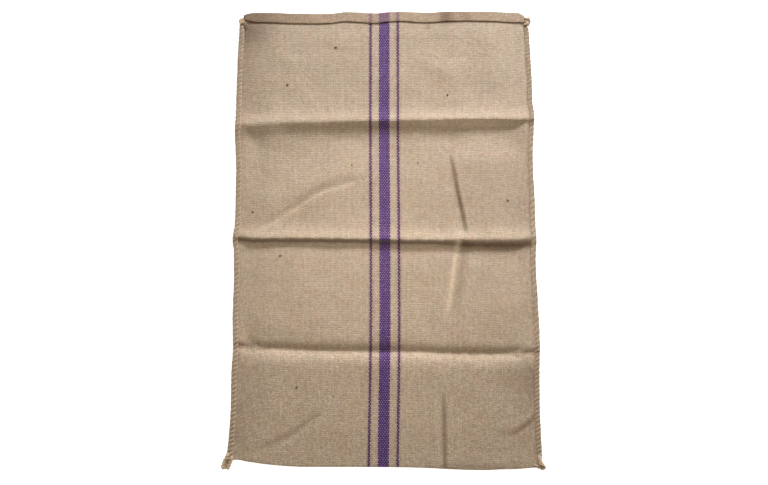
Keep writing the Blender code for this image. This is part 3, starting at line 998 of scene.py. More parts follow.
def new_group(name, inputs, outputs):
    """An empty shader node group with typed sockets, and the wiring, inputs and output node to fill it."""
    group = bpy.data.node_groups.new(name, "ShaderNodeTree")
    for label, kind, default in inputs:
        socket = group.interface.new_socket(label, in_out="INPUT", socket_type=f"NodeSocket{kind}")
        if default is not None:
            socket.default_value = default
    for label, kind in outputs:
        group.interface.new_socket(label, in_out="OUTPUT", socket_type=f"NodeSocket{kind}")
    wiring = Wiring(group)
    given = wiring.node("NodeGroupInput").outputs
    result = wiring.node("NodeGroupOutput").inputs
    return group, wiring, given, result


print("node helpers:", [name for name in vars(Wiring) if not name.startswith("_")])

# %% [markdown]
# ## The twill weave
#
# Sacking is a two-up, one-down twill woven with coarse double warps: on the outside each warp column
# passes over two picks of weft and under one. Here neighbouring columns are half a repeat apart, so the
# weft shows as staggered dots and no diagonal catches the eye. On the inside the picture turns round, and
# the weft covers two thirds. One group draws both. It numbers the columns and picks, asks which is on top
# at a place, and gives a round height across that yarn, arched along its float. Noise shifts the yarns a
# little, because hand-spun jute is never even.

# %% Twill group
WARP_PITCH = 2.85 * MM
PICK_PITCH = 2.77 * MM
TWILL_REPEAT = 3.0
STAGGER = TWILL_REPEAT / 2
YARN_WANDER = 0.26
WANDER_RATES = (90.0, 70.0)
ARCH = 0.45
WARP_NUMBERS_FROM = 613.0

twill_sockets_in = (("Weave", "Vector", None), ("Outside", "Float", 1.0))
TWILL_VALUES = ("Warp On Top", "Height", "Warp", "Pick", "Yarn", "Along")
twill_sockets_out = tuple((label, "Float") for label in TWILL_VALUES)
twill_group, w, given, result = new_group("twill weave", twill_sockets_in, twill_sockets_out)

across_cloth, along_cloth, _ = w.split(given["Weave"])
noise_x = w.noise(given["Weave"], WANDER_RATES[0])
noise_y = w.noise(given["Weave"], WANDER_RATES[1], 3.0)
wander_x = w.math("MULTIPLY_ADD", noise_x, YARN_WANDER * 2, -YARN_WANDER)
wander_y = w.math("MULTIPLY_ADD", noise_y, YARN_WANDER * 2, -YARN_WANDER)
warp_at = w.math("MULTIPLY_ADD", across_cloth, 1 / WARP_PITCH, w.math("ADD", wander_x, 0.5))
pick_at = w.math("MULTIPLY_ADD", along_cloth, 1 / PICK_PITCH, wander_y)
warp, pick = w.math("FLOOR", warp_at), w.math("FLOOR", pick_at)
over_warp = w.math("FRACT", warp_at)
repeat_at = w.math("MULTIPLY_ADD", w.math("FLOORED_MODULO", warp, 2.0), STAGGER, pick_at)
over_pick = w.math("FRACT", repeat_at)
phase = w.math("FLOORED_MODULO", repeat_at, TWILL_REPEAT)
short = w.math("LESS_THAN", phase, 1.0)
print("a repeat of the twill is", round(TWILL_REPEAT * PICK_PITCH / MM, 2), "mm long")

# %% Height across the yarn on top
# Along a long float: down the warp on the outside, across one column of weft on the inside
long_outside = w.math("MULTIPLY", w.math("SUBTRACT", phase, 1.0), 0.5)
long_float = w.blend(given["Outside"], over_warp, long_outside)
short_float = w.blend(given["Outside"], over_pick, over_warp)
long_across = w.blend(given["Outside"], over_pick, over_warp)
float_along = w.blend(short, long_float, short_float)
short_across = w.blend(given["Outside"], over_warp, over_pick)
float_across = w.blend(short, long_across, short_across)
# A half circle across the yarn, times a sine along its float
centred = w.math("MULTIPLY_ADD", float_across, 2.0, -1.0)
squared = w.math("SUBTRACT", 1.0, w.math("MULTIPLY", centred, centred))
rounded = w.math("SQRT", w.math("MAXIMUM", squared, 0.0))
arched = w.math("SINE", w.math("MULTIPLY", float_along, math.pi))
height = w.math("MULTIPLY", rounded, w.math("MULTIPLY_ADD", arched, ARCH, 1.0 - ARCH))
warp_on_top = w.math("ABSOLUTE", w.math("SUBTRACT", given["Outside"], short))
w.plug(warp_on_top, result["Warp On Top"])
w.plug(height, result["Height"])
w.plug(warp, result["Warp"])
w.plug(pick, result["Pick"])
w.plug(w.blend(warp_on_top, pick, w.math("ADD", warp, WARP_NUMBERS_FROM)), result["Yarn"])
w.plug(w.blend(warp_on_top, across_cloth, along_cloth), result["Along"])
print("twill group:", len(twill_group.nodes), "nodes")

# %% [markdown]
# ## The colour of jute
#
# Raw jute runs from pale straw to a greyish brown. Each yarn has its own tone, which drifts along its
# length, and its fibres show as fine streaks. A group works this out from a yarn's number and the place
# along it, so that cloth and sewing twine share it. A second group lays broad, faint patches over any
# colour: pinkish and greenish greys, as on cloth that was stored, folded and handled. A third reads the
# painted shading of a place. More than none darkens it to a brown, as painted shade, and less than none
# pales it, as painted light.

# %% Fibre group
STRAW_DARK = (0.345, 0.254, 0.172, 1.0)
STRAW_MIDDLE = (0.520, 0.418, 0.310, 1.0)
STRAW_PALE = (0.685, 0.590, 0.465, 1.0)
OWN_TONE = {"seed": 3.0, "strength": 0.16}
DRIFT = {"rate": 28.0, "step": 5.17, "strength": 0.42}
STREAKS = {"rate": 260.0, "step": 9.3, "strength": 0.9}

fibre_sockets_in = (
    ("Yarn", "Float", 0.0),
    ("Along", "Float", 0.0),
    ("Across", "Float", 0.5),
    ("Contrast", "Float", 1.0),
)
fibre_sockets_out = (("Color", "Color"), ("Tone", "Float"))
fibre_group, w, given, result = new_group("jute fibre", fibre_sockets_in, fibre_sockets_out)


def about_zero(w, value, strength):
    """A value from 0 to 1 less one half, times a strength."""
    return w.math("MULTIPLY", w.math("SUBTRACT", value, 0.5), strength)


own_tone = w.chance(w.join(given["Yarn"], OWN_TONE["seed"]))
drift_way = w.math("MULTIPLY", given["Along"], DRIFT["rate"])
drift = w.noise(w.join(drift_way, w.math("MULTIPLY", given["Yarn"], DRIFT["step"])), 1.0, 2.0)
streak_way = w.math("MULTIPLY", given["Along"], STREAKS["rate"])
streak_side = w.math("MULTIPLY_ADD", given["Yarn"], STREAKS["step"], given["Across"])
streaks = w.noise(w.join(streak_way, streak_side), 1.0, 2.0, 0.6)
tone = w.math("ADD", about_zero(w, own_tone, OWN_TONE["strength"]), about_zero(w, drift, DRIFT["strength"]))
tone = w.math("ADD", tone, about_zero(w, streaks, STREAKS["strength"]))
tone = w.math("MULTIPLY_ADD", tone, given["Contrast"], 0.5)
straw = w.tint(w.remap(tone, 0.5, 1.0), STRAW_MIDDLE, STRAW_PALE)
straw = w.tint(w.remap(tone, 0.5, 0.0), straw, STRAW_DARK)
w.plug(straw, result["Color"])
w.plug(tone, result["Tone"])
print("fibre group:", len(fibre_group.nodes), "nodes")

# %% Patches group
# Rate, detail and roughness of a noise, the values between which a patch fades in, and its tint
PATCHES = (
    (26.0, 3.0, 0.5, 0.48, 0.72, (1.02, 0.965, 0.985, 1.0)),
    (19.0, 3.0, 0.5, 0.52, 0.36, (0.985, 0.985, 0.95, 1.0)),
    (7.0, 4.0, 0.6, 0.50, 0.75, (0.96, 0.945, 0.915, 1.0)),
)
SOME_JUTE = (0.5, 0.4, 0.3, 1.0)

patch_sockets_in = (("Weave", "Vector", None), ("Color", "Color", SOME_JUTE), ("Strength", "Float", 1.0))
patch_group, w, given, result = new_group("stored patches", patch_sockets_in, (("Color", "Color"),))
patched = given["Color"]
for rate, detail, roughness, none, full, patch_tint in PATCHES:
    share = w.remap(w.noise(given["Weave"], rate, detail, roughness), none, full)
    patched = w.tint(w.math("MULTIPLY", share, given["Strength"]), patched, patch_tint, "MULTIPLY")
w.plug(patched, result["Color"])
print("patches group:", len(patch_group.nodes), "nodes")

# %% Painted shading group
# The point attribute that holds painted shade, above zero, and painted light, below zero
PAINTED_SHADING = "dust"
PAINTED_SHADE_TINT = (0.30, 0.215, 0.160, 1.0)
PAINTED_LIGHT_TINT = (1.42, 1.41, 1.40, 1.0)

dust_sockets_in = (("Amount", "Float", 0.0), ("Color", "Color", SOME_JUTE))
dust_group, w, given, result = new_group("dust in hollows", dust_sockets_in, (("Color", "Color"),))
# Painted shade: more than none darkens the colour towards a brown
shaded = w.tint(w.math("MAXIMUM", given["Amount"], 0.0), given["Color"], PAINTED_SHADE_TINT, "MULTIPLY")
# Painted light: less than none lightens the colour
worn = w.math("MAXIMUM", w.math("MULTIPLY", given["Amount"], -1.0), 0.0)
w.plug(w.tint(worn, shaded, PAINTED_LIGHT_TINT, "MULTIPLY"), result["Color"])
print("dust group:", len(dust_group.nodes), "nodes")

# %% [markdown]
# ## The cloth's two finishes
#
# The stripes are warp yarns that were dyed before weaving: nine in the middle and two on each side.
# A yarn is dyed or not by its number, so the toothed edges come by themselves from the twill. The same
# functions make the outside and the inside of the cloth: only the share of warp that shows differs, and
# how rough and how dark it is. Towards the bottom the grain gets stronger painted shading, as grazing light
# would give it, and the purple is darker. The weave's height darkens the gaps between yarns with painted
# shade, and drives the bump.

# %% Undyed cloth
WEFT_CONTRAST = 1.1
WARP_CONTRAST = 0.8
WEFT_DASHES = (85.0, 0.90, 1.08)
WARP_DASHES = (75.0, 0.94, 1.05)
DASH_STEP = 7.31
DASH_EDGES = (0.28, 0.72)
# Where along the cloth the grain's painted shading grows, and how much it sharpens the dashes there
LOWER_SHADE_PLACES = (0.02, 0.45)
LOWER_GRAIN_POWER = 1.4
NAP_RATE = 320.0
NAP_EDGES = (0.30, 0.70)
NAP_TONES = (0.80, 1.20)
NAP_SHARE = 0.9
INSIDE_SHADE = (0.865, 0.825, 0.775, 1.0)
WARP_THICK = 0.5
WEFT_THICK = 1.2


def dashes(w, number, way, rate, low, high):
    """Lighter and darker lengths of a yarn, from its number and the way along it, and their noise."""
    place = w.join(w.math("MULTIPLY", way, rate), w.math("MULTIPLY", number, DASH_STEP))
    noise = w.noise(place, 1.0, 2.0, 0.6)
    return w.remap(noise, *DASH_EDGES, low, high), noise


def natural_cloth(w, outside, weave, across, along, lower_share, twill):
    """Colour, fibre tone and uneven thickness of undyed cloth, coarser inside, with painted shading of its
    grain that grows towards the bottom.
    """
    contrast = w.blend(twill["Warp On Top"], WEFT_CONTRAST, WARP_CONTRAST)
    straw = w.group(fibre_group, Yarn=twill["Yarn"], Along=twill["Along"], Contrast=contrast)
    natural = w.group(patch_group, Weave=weave, Color=straw["Color"], Strength=1.0)["Color"]
    weft_dash, weft_noise = dashes(w, twill["Pick"], across, *WEFT_DASHES)
    warp_dash, warp_noise = dashes(w, twill["Warp"], along, *WARP_DASHES)
    dash = w.math("MULTIPLY", weft_dash, warp_dash)
    nap = w.remap(w.noise(weave, NAP_RATE, 3.0, 0.6), *NAP_EDGES, *NAP_TONES)
    # Towards the bottom the nap and dashes gain contrast: painted shading of the grain
    nap_share = w.math("MULTIPLY", lower_share, NAP_SHARE) if outside else 1.0
    dash = w.math("POWER", dash, w.blend(lower_share, 1.0, LOWER_GRAIN_POWER))
    dash = w.math("MULTIPLY", dash, w.blend(nap_share, 1.0, nap))
    natural = w.tint(1.0, natural, w.grey(dash), "MULTIPLY")
    if not outside:
        natural = w.tint(1.0, natural, INSIDE_SHADE, "MULTIPLY")
    thick = w.math("MULTIPLY_ADD", warp_noise, WARP_THICK, w.math("MULTIPLY", weft_noise, WEFT_THICK))
    return natural, straw["Tone"], thick


print("nap grains are", round(METRE / NAP_RATE, 1), "mm apart")

# %% Dyed stripes
MAIN_STRIPE_HALF = 4.0
SIDE_STRIPE_AT = 11.5
SIDE_STRIPE_HALF = 0.5
PURPLE = (0.046, 0.015, 0.135, 1.0)
PURPLE_PALE = (0.112, 0.050, 0.262, 1.0)
PURPLE_TONES = (0.2, 0.9)
SIDE_PURPLE = (0.060, 0.018, 0.078, 1.0)
SIDE_PURPLE_SHARE = 0.85
PURPLE_DARKER_BELOW = (0.70, 0.60, 0.92, 1.0)
BLEED = (0.98, 0.915, 1.04, 1.0)
SIDE_BLEED = (0.84, 0.75, 0.95, 1.0)
BLEED_SHARE = 0.8
RUBBED_OFF = (0.62, 0.50, 0.80, 1.0)
RUBBED_OUTSIDE = 0.9
RUBBED_INSIDE = 0.6
DOT_HEIGHTS = (0.35, 0.70)
DOT_CHANCES = (0.1, 0.8)
DOT_FAINTEST = 0.55


def within(w, value, middle, half):
    """1 where a whole number lies within half of a middle one."""
    return w.math("LESS_THAN", w.math("ABSOLUTE", w.math("SUBTRACT", value, middle)), half + 0.5)


def striped(w, outside, natural, tone, lower_share, twill):
    """Dyed warp yarns over natural cloth, whose small dots of weft between them are rubbed with dye."""
    number = w.math("ABSOLUTE", twill["Warp"])
    main = within(w, number, 0.0, MAIN_STRIPE_HALF)
    side = within(w, number, SIDE_STRIPE_AT, SIDE_STRIPE_HALF)
    near_main = within(w, number, 0.0, MAIN_STRIPE_HALF + 1.0)
    near_side = within(w, number, SIDE_STRIPE_AT, SIDE_STRIPE_HALF + 1.0)
    natural = w.tint(w.math("MULTIPLY", near_main, BLEED_SHARE), natural, BLEED, "MULTIPLY")
    natural = w.tint(w.math("MULTIPLY", near_side, BLEED_SHARE), natural, SIDE_BLEED, "MULTIPLY")
    between = within(w, number, 0.0, MAIN_STRIPE_HALF - outside)
    rubbed = w.math("MULTIPLY", between, RUBBED_OUTSIDE if outside else RUBBED_INSIDE)
    natural = w.tint(rubbed, natural, RUBBED_OFF, "MULTIPLY")
    weft_on_top = w.math("SUBTRACT", 1.0, twill["Warp On Top"])
    worn = w.chance(w.join(twill["Warp"], twill["Pick"]))
    dot = w.math("MULTIPLY", weft_on_top, w.remap(twill["Height"], *DOT_HEIGHTS))
    dot = w.math("MULTIPLY", dot, w.remap(worn, *DOT_CHANCES, DOT_FAINTEST, 1.0))
    covered = w.blend(outside, twill["Warp On Top"], w.math("SUBTRACT", 1.0, dot))
    dyed = w.math("MULTIPLY", w.math("MAXIMUM", main, side), covered)
    purple = w.tint(w.remap(tone, *PURPLE_TONES), PURPLE, PURPLE_PALE)
    purple = w.tint(w.math("MULTIPLY", side, SIDE_PURPLE_SHARE), purple, SIDE_PURPLE)
    # The purple is darker towards the bottom
    purple = w.tint(lower_share, purple, PURPLE_DARKER_BELOW, "MULTIPLY")
    return w.tint(dyed, natural, purple)


print("the middle stripe is", round((2 * MAIN_STRIPE_HALF + 1) * WARP_PITCH / MM, 1), "mm wide")

# %% The selvedges' tint and painted shade
SIDE_DISTANCE = "from_side"
SELVEDGE_PINK = (1.04, 1.00, 1.02, 1.0)
PINK_BAND = (8.6, 11.8)
SELVEDGE_SHADE = (0.66, 0.52, 0.45, 1.0)
SHADE_BAND = (11.9, 13.0)
SHADE_SHARE = 0.55
BREAK_RATES = (30.0, 3.0)
BREAK_EDGES = (0.35, 0.6)


def band(w, value, low, high, edge=0.6):
    """1 between two values, with edges eased over a short way."""
    above, below = w.remap(value, low - edge, low + edge), w.remap(value, high + edge, high - edge)
    return w.math("MULTIPLY", above, below)


def selvedge_tint(w, colour, across, along):
    """A pinkish strip, and a broken line of painted shade in the groove beside the stitches."""
    from_side = w.node("ShaderNodeAttribute", attribute_name=SIDE_DISTANCE).outputs["Fac"]
    place = w.join(w.math("MULTIPLY", along, BREAK_RATES[0]), w.math("MULTIPLY", across, BREAK_RATES[1]))
    broken = w.remap(w.noise(place, 1.0, 3.0), *BREAK_EDGES)
    colour = w.tint(band(w, from_side, *PINK_BAND), colour, SELVEDGE_PINK, "MULTIPLY")
    # Painted shade in the groove beside the stitches, broken by noise
    shade_line = w.math("MULTIPLY", band(w, from_side, *SHADE_BAND), w.math("MULTIPLY", broken, SHADE_SHARE))
    return w.tint(shade_line, colour, SELVEDGE_SHADE, "MULTIPLY")


print("the dark line lies", SHADE_BAND[0], "mm from the seam's outer edge")

# %% Both cloth materials
CLOTH_ROUGHNESS = 0.92
GAP_SHADE = 0.50
GAP_HEIGHTS = (0.15, 0.75)
WEAVE_BUMP = 1.25 * MM
WEAVE_BUMP_STRENGTH = 0.8
JUTE_SHEEN = 0.25
JUTE_SPECULAR = 0.2


def finish_jute(w, shader, colour, height, strength, distance):
    """Lays the dust over a colour, and gives the shader that colour, a bump and jute's faint sheen."""
    dust = w.node("ShaderNodeAttribute", attribute_name=PAINTED_SHADING).outputs["Fac"]
    w.plug(w.group(dust_group, Amount=dust, Color=colour)["Color"], shader.inputs["Base Color"])
    bump = w.node("ShaderNodeBump")
    bump.inputs["Strength"].default_value = strength
    bump.inputs["Distance"].default_value = distance
    w.plug(height, bump.inputs["Height"])
    w.plug(bump.outputs["Normal"], shader.inputs["Normal"])
    shader.inputs["Sheen Weight"].default_value = JUTE_SHEEN
    shader.inputs["Specular IOR Level"].default_value = JUTE_SPECULAR


def cloth_material(name, outside):
    """Twill in jute colours with dyed warp stripes, seen from its outside (1) or its inside (0)."""
    material, shader = plain_material(name, STRAW_MIDDLE[:3], CLOTH_ROUGHNESS)
    w = Wiring(material.node_tree)
    weave = w.node("ShaderNodeUVMap", uv_map=WEAVE_MAP).outputs[0]
    across, along, _ = w.split(weave)
    twill = w.group(twill_group, Weave=weave, Outside=outside)
    # A share that rises towards the bottom: it strengthens the grain's painted shading and darkens the
    # purple
    lower_share = w.remap(along, *LOWER_SHADE_PLACES)
    natural, tone, thick = natural_cloth(w, outside, weave, across, along, lower_share, twill)
    colour = striped(w, outside, natural, tone, lower_share, twill)
    colour = selvedge_tint(w, colour, across, along)
    # Painted shade in the gaps between yarns, from the weave's height
    gap = w.remap(twill["Height"], *GAP_HEIGHTS, GAP_SHADE, 1.0)
    colour = w.tint(1.0, colour, w.grey(gap), "MULTIPLY")
    height = w.math("ADD", twill["Height"], thick)
    finish_jute(w, shader, colour, height, WEAVE_BUMP_STRENGTH, WEAVE_BUMP)
    return material


outside_material = cloth_material("jute_cloth_outside", 1.0)
inside_material = cloth_material("jute_cloth_inside", 0.0)
print("cloth material:", len(outside_material.node_tree.nodes), "nodes")

# %% [markdown]
# ## The cloth itself
#
# The grid becomes a surface, and a Solidify modifier gives it the cloth's thickness on both sides of its
# middle. That modifier can give the far side another material, which is how the turned-out hems and the
# inside of the sack show the inside of the weave. Two numbers are kept for each point: how far it lies
# from the seam, and how much it is darkened, which the hem and the front ply have: painted shade and light
# on the front, darker places on the hem.

# %% Make the cloth
cloth_faces = grid_faces(*cloth_points.shape[:2])[:, ::-1]
flat_points, flat_uv = cloth_points.reshape(-1, 3), cloth_uv.reshape(-1, 2)
cloth = mesh_piece("jute_cloth", flat_points, cloth_faces, flat_uv, outside_material)
cloth.data.materials.append(inside_material)
cloth_x, cloth_y = cloth_points[..., 0], cloth_points[..., 1]
store(cloth, SIDE_DISTANCE, np.minimum(cloth_x - left_side(cloth_y), right_side(cloth_y) - cloth_x))
dust = np.zeros(cloth_points.shape[:2])
dust[mouth_row : mouth_row + FRONT_ROW_COUNT] = front_dust(row_x, row_y)
dust[:mouth_row] = hem_dust(mouth_x)
store(cloth, PAINTED_SHADING, dust)

thickness = cloth.modifiers.new("cloth thickness", "SOLIDIFY")
thickness.thickness = CLOTH_THICKNESS * MM
thickness.offset = 0.0
thickness.use_even_offset = False
thickness.material_offset = 1
middle_row = mouth_row + FRONT_ROW_COUNT // 2
middle_face = cloth.data.polygons[middle_row * (COLUMN_COUNT - 1) + COLUMN_COUNT // 2]
print("the front ply's faces point up:", middle_face.normal.z > 0.9)

# %% [markdown]
# ## Twine
#
# Sewing twine is a tube along a path. A ring of points is set up at each step of the path, square to it.
# Its radius swells and sinks round the ring and turns along the way, which shows the plies that the
# twine is twisted from. The reference direction that the rings start from comes with the path, because
# a fixed one would make the tube spin where the path runs along it.

# %% Tubes of twine
TWINE_PLIES = 2
TWINE_TWIST = 9.0
TWINE_SIDES = 8
PLY_DEPTH = 0.14


def tube(path, radius, reference, sides=TWINE_SIDES, plies=TWINE_PLIES, twist=TWINE_TWIST):
    """Rings of points round a path: the path, plus the radius times a cosine and a sine.

    radius has a value for each step. It is changed round the ring by a cosine of plies times the angle
    less the turn reached by then, one whole turn of the plies in each twist millimetres.
    """
    direction = np.gradient(path, axis=0)
    direction /= np.linalg.norm(direction, axis=1, keepdims=True)
    side = np.cross(direction, reference)
    side /= np.linalg.norm(side, axis=1, keepdims=True)
    up = np.cross(side, direction)
    step = np.linalg.norm(np.diff(path, axis=0), axis=1)
    way = np.concatenate([[0.0], np.cumsum(step)])
    angle = np.linspace(0.0, 2 * math.pi, sides, endpoint=False)[None, :]
    swell = 1.0 + PLY_DEPTH * np.cos(plies * (angle - 2 * math.pi * way[:, None] / (plies * twist)))
    reach = radius[:, None] * swell
    upward = (reach * np.cos(angle))[..., None] * up[:, None]
    sideways = (reach * np.sin(angle))[..., None] * side[:, None]
    turn = np.broadcast_to(angle / (2 * math.pi), swell.shape)
    flat = np.stack([turn, np.broadcast_to(way[:, None], swell.shape) * MM], axis=2)
    return path[:, None] + upward + sideways, flat


def closed_tube(rings, flat, start):
    """Points, faces and flat coordinates of a tube with a closed end at both ends.

    start is the number that its first point gets in the mesh that it joins. Each end ring is drawn
    together into a point by an added ring of no width.
    """
    first, last = rings[0].mean(axis=0), rings[-1].mean(axis=0)
    caps = [np.broadcast_to(end, rings[0].shape)[None] for end in (first, last)]
    grid = np.concatenate([caps[0], rings, caps[1]])
    uv = np.concatenate([flat[:1], flat, flat[-1:]])
    faces = grid_faces(len(grid), grid.shape[1], round_it=True) + start
    return grid.reshape(-1, 3), faces, uv.reshape(-1, 2)


MERGE_DISTANCE = 0.001 * MM


def twine_piece(name, tubes, material, dust_at):
    """One object from several tubes, with coincident end points merged so that each is closed.

    dust_at gives the painted shade at points, or is a list with an array for the rings of each tube.
    """
    points, faces, uvs, start = [], [], [], 0
    for rings, flat in tubes:
        p, f, uv = closed_tube(rings, flat, start)
        points.append(p)
        faces.append(f)
        uvs.append(uv)
        start += len(p)
    points = np.concatenate(points)
    piece = mesh_piece(name, points, np.concatenate(faces), np.concatenate(uvs), material)
    if callable(dust_at):
        values = dust_at(points)
    else:
        values = np.concatenate([np.concatenate([d[:1], d, d[-1:]]).ravel() for d in dust_at])
    store(piece, PAINTED_SHADING, np.clip(values, 0.0, 1.0))
    bm = bmesh.new()
    bm.from_mesh(piece.data)
    bmesh.ops.remove_doubles(bm, verts=bm.verts, dist=MERGE_DISTANCE)
    bm.to_mesh(piece.data)
    bm.free()
    return piece


print("twine:", TWINE_PLIES, "plies, one turn in", TWINE_TWIST, "mm")

# %% Twine material
TWINE_ROUGHNESS = 0.9
TWINE_CONTRAST = 0.9
TWINE_TINT = (1.20, 1.17, 1.11, 1.0)
PLY_GROOVE_SHADE = (0.0, 0.6, 0.55, 1.0)
TWINE_BUMP = 0.4 * MM
TWINE_BUMP_STRENGTH = 0.6
FIBRES_IN_PLY = 6.0


def twine_material(name):
    """Jute fibre colours along the twine, with painted shade in the grooves between its twisted plies."""
    material, shader = plain_material(name, STRAW_MIDDLE[:3], TWINE_ROUGHNESS)
    w = Wiring(material.node_tree)
    flat = w.node("ShaderNodeUVMap", uv_map=WEAVE_MAP).outputs[0]
    round_it, way, _ = w.split(flat)
    turned_back = w.math("MULTIPLY", way, -1.0 / (TWINE_TWIST * MM))
    ply = w.math("ADD", w.math("MULTIPLY", round_it, float(TWINE_PLIES)), turned_back)
    strand = w.math("FLOORED_MODULO", w.math("FLOOR", ply), float(TWINE_PLIES))
    across = w.math("MULTIPLY", ply, FIBRES_IN_PLY)
    straw = w.group(fibre_group, Yarn=strand, Along=way, Across=across, Contrast=TWINE_CONTRAST)
    crown = w.math("SINE", w.math("MULTIPLY", w.math("FRACT", ply), math.pi))
    # Painted shade in the grooves between the plies
    colour = w.tint(1.0, straw["Color"], w.grey(w.remap(crown, *PLY_GROOVE_SHADE)), "MULTIPLY")
    colour = w.tint(1.0, colour, TWINE_TINT, "MULTIPLY")
    height = w.math("ADD", crown, w.math("MULTIPLY", straw["Tone"], 0.5))
    finish_jute(w, shader, colour, height, TWINE_BUMP_STRENGTH, TWINE_BUMP)
    return material


seam_twine_material = twine_material("jute_twine")
print("twine material:", len(seam_twine_material.node_tree.nodes), "nodes")

# %% [markdown]
# ## The overcast seams
#
# The selvedges are sewn over and over: the twine goes up through both plies, over the edge and round
# again, so each seam is one long flattened coil. The part over the top runs more slanted than the part
# below, which is why a slanted stroke shows at each stitch. Drawn tight, the twine sinks into the
# selvedges and they bulge between two stitches. So a seam is two pieces that share one formula: a roll
# of cloth with a groove where the twine passes, and the twine in the groove. The pitch changes along the
# seam, because it was sewn by hand, and so does how deep the twine lies buried in the roll.

# %% The line of the stitches
STRAND_RADIUS = 1.35
STITCH_STEPS = 18
SLANT_SHARE = 0.92
ROLL_RAISED = 1.6
ROLL_SIDES = 26
ROLL_STEPS = 11
GROOVE_INSET = 1.7
GROOVE_HALF = 1.7
SUNK = 1.3
# Painted shade in and just below the roll's grooves, and on the twine where it lies buried
SHADE_BELOW = 2.2
SHADE_HALF = 2.3
ROLL_GROOVE_SHADE = 0.80
BURIED_TWINE_SHADE = 0.65
NOTCH_FROM = 0.1
NOTCH_WIDTH = 0.6
SLACK_SPREAD = 0.25
STRAND_PRESS = 0.2
STRAND_CLEARANCE = 0.1
ROLL_RIPPLES = 0.5
ROLL_RIPPLE_RATES = (4.0, 9.0)
END_TAPER = 0.5
EDGE_POWER = 0.75
FACE_POWER = 0.6
BURIED_GROOVE = 0.75
BURIED_SHADE = 0.8
SEAM_SAMPLES = 3000
# The middle of the two sewn plies and half their height, and the middle of the stitches and half their reach
PACK_LEVEL = SEAM_WALL + SEAM_CLEARANCE + CLOTH_THICKNESS + SEAM_PLY_GAP / 2
PACK_HALF = CLOTH_THICKNESS + SEAM_PLY_GAP / 2
HALF_REACH = (SEAM_REACH + SEAM_OUTSIDE - STRAND_RADIUS) / 2
MIDDLE_IN = SEAM_REACH - HALF_REACH
# Each seam's side and its ends. At places y: the pitch of its stitches, and how deep they lie buried
SEAMS = {
    "left": {
        "side": -1.0,
        "span": (-512.0, 519.0),
        "y": (-520, -400, -250, 0, 250, 520),
        "pitch": (9.6, 10.2, 10.4, 11.6, 11.2, 9.7),
        "buried": (0.0, 0.1, 0.1, 0.2, 0.5, 0.45),
        "seed": 20,
    },
    "right": {
        "side": 1.0,
        "span": (-524.0, 509.0),
        "y": (-530, -260, -200, 200, 280, 510),
        "pitch": (9.6, 10.2, 14.8, 14.8, 10.8, 9.9),
        "buried": (0.0, 0.0, 0.6, 0.7, 0.7, 0.4),
        "seed": 22,
    },
}


def stitch_numbers(facts):
    """Fine places along a seam and the stitch number reached there: the sum of one over the pitch."""
    fine = np.linspace(*facts["span"], SEAM_SAMPLES)
    rate = 1.0 / curve(facts["y"], facts["pitch"], fine)
    return fine, np.concatenate([[0.0], np.cumsum((rate[1:] + rate[:-1]) / 2 * np.diff(fine))])


def advance(angle, side):
    """Share of a stitch that the twine has moved along the seam at an angle round the selvedges.

    Angle 0 is at the outer edge. Over the top it moves by the slant's share, below by the rest.
    """
    turn = angle / (2 * math.pi)
    first = SLANT_SHARE if side < 0 else 1 - SLANT_SHARE
    return np.where(turn < 0.5, first * 2 * turn, first + (1 - first) * (2 * turn - 1))


def section(angle, y, side, half_in, half_up):
    """Points of a rounded rectangle round the selvedges: a cosine and a sine to powers below one."""
    cosine, sine = np.cos(angle), np.sin(angle)
    inward = -np.sign(cosine) * np.abs(cosine) ** np.where(cosine > 0, EDGE_POWER, 1.0)
    upward = -side * np.sign(sine) * np.abs(sine) ** FACE_POWER
    edge = right_side(y) if side > 0 else left_side(y)
    x = edge - side * (MIDDLE_IN + half_in * inward)
    z = PACK_LEVEL + crease_sum(edge, y, "at_seam") + half_up * upward
    return np.stack([x, y, z], axis=-1), np.stack([-side * inward, np.zeros_like(x), upward], axis=-1)


def seam_twine(facts):
    """Path of the twine and the outward direction at each of its points."""
    fine, number = stitch_numbers(facts)
    stitches = int(number[-1])
    turn = np.linspace(0.0, stitches, stitches * STITCH_STEPS + 1)
    angle = 2 * math.pi * (turn % 1.0)
    y = np.interp(np.floor(turn) + advance(angle, facts["side"]), number, fine)
    draw = np.random.default_rng(facts["seed"])
    slack = np.interp(turn, np.arange(stitches + 2), draw.normal(0.0, SLACK_SPREAD, stitches + 2))
    buried = curve(facts["y"], facts["buried"], y)
    up = PACK_HALF + STRAND_RADIUS + STRAND_CLEARANCE - SUNK * buried
    path, outward = section(angle, y, facts["side"], HALF_REACH - STRAND_PRESS + slack, up)
    # The last value is painted shade on the twine where it lies buried in the roll
    return path, outward, stitches, BURIED_TWINE_SHADE * buried


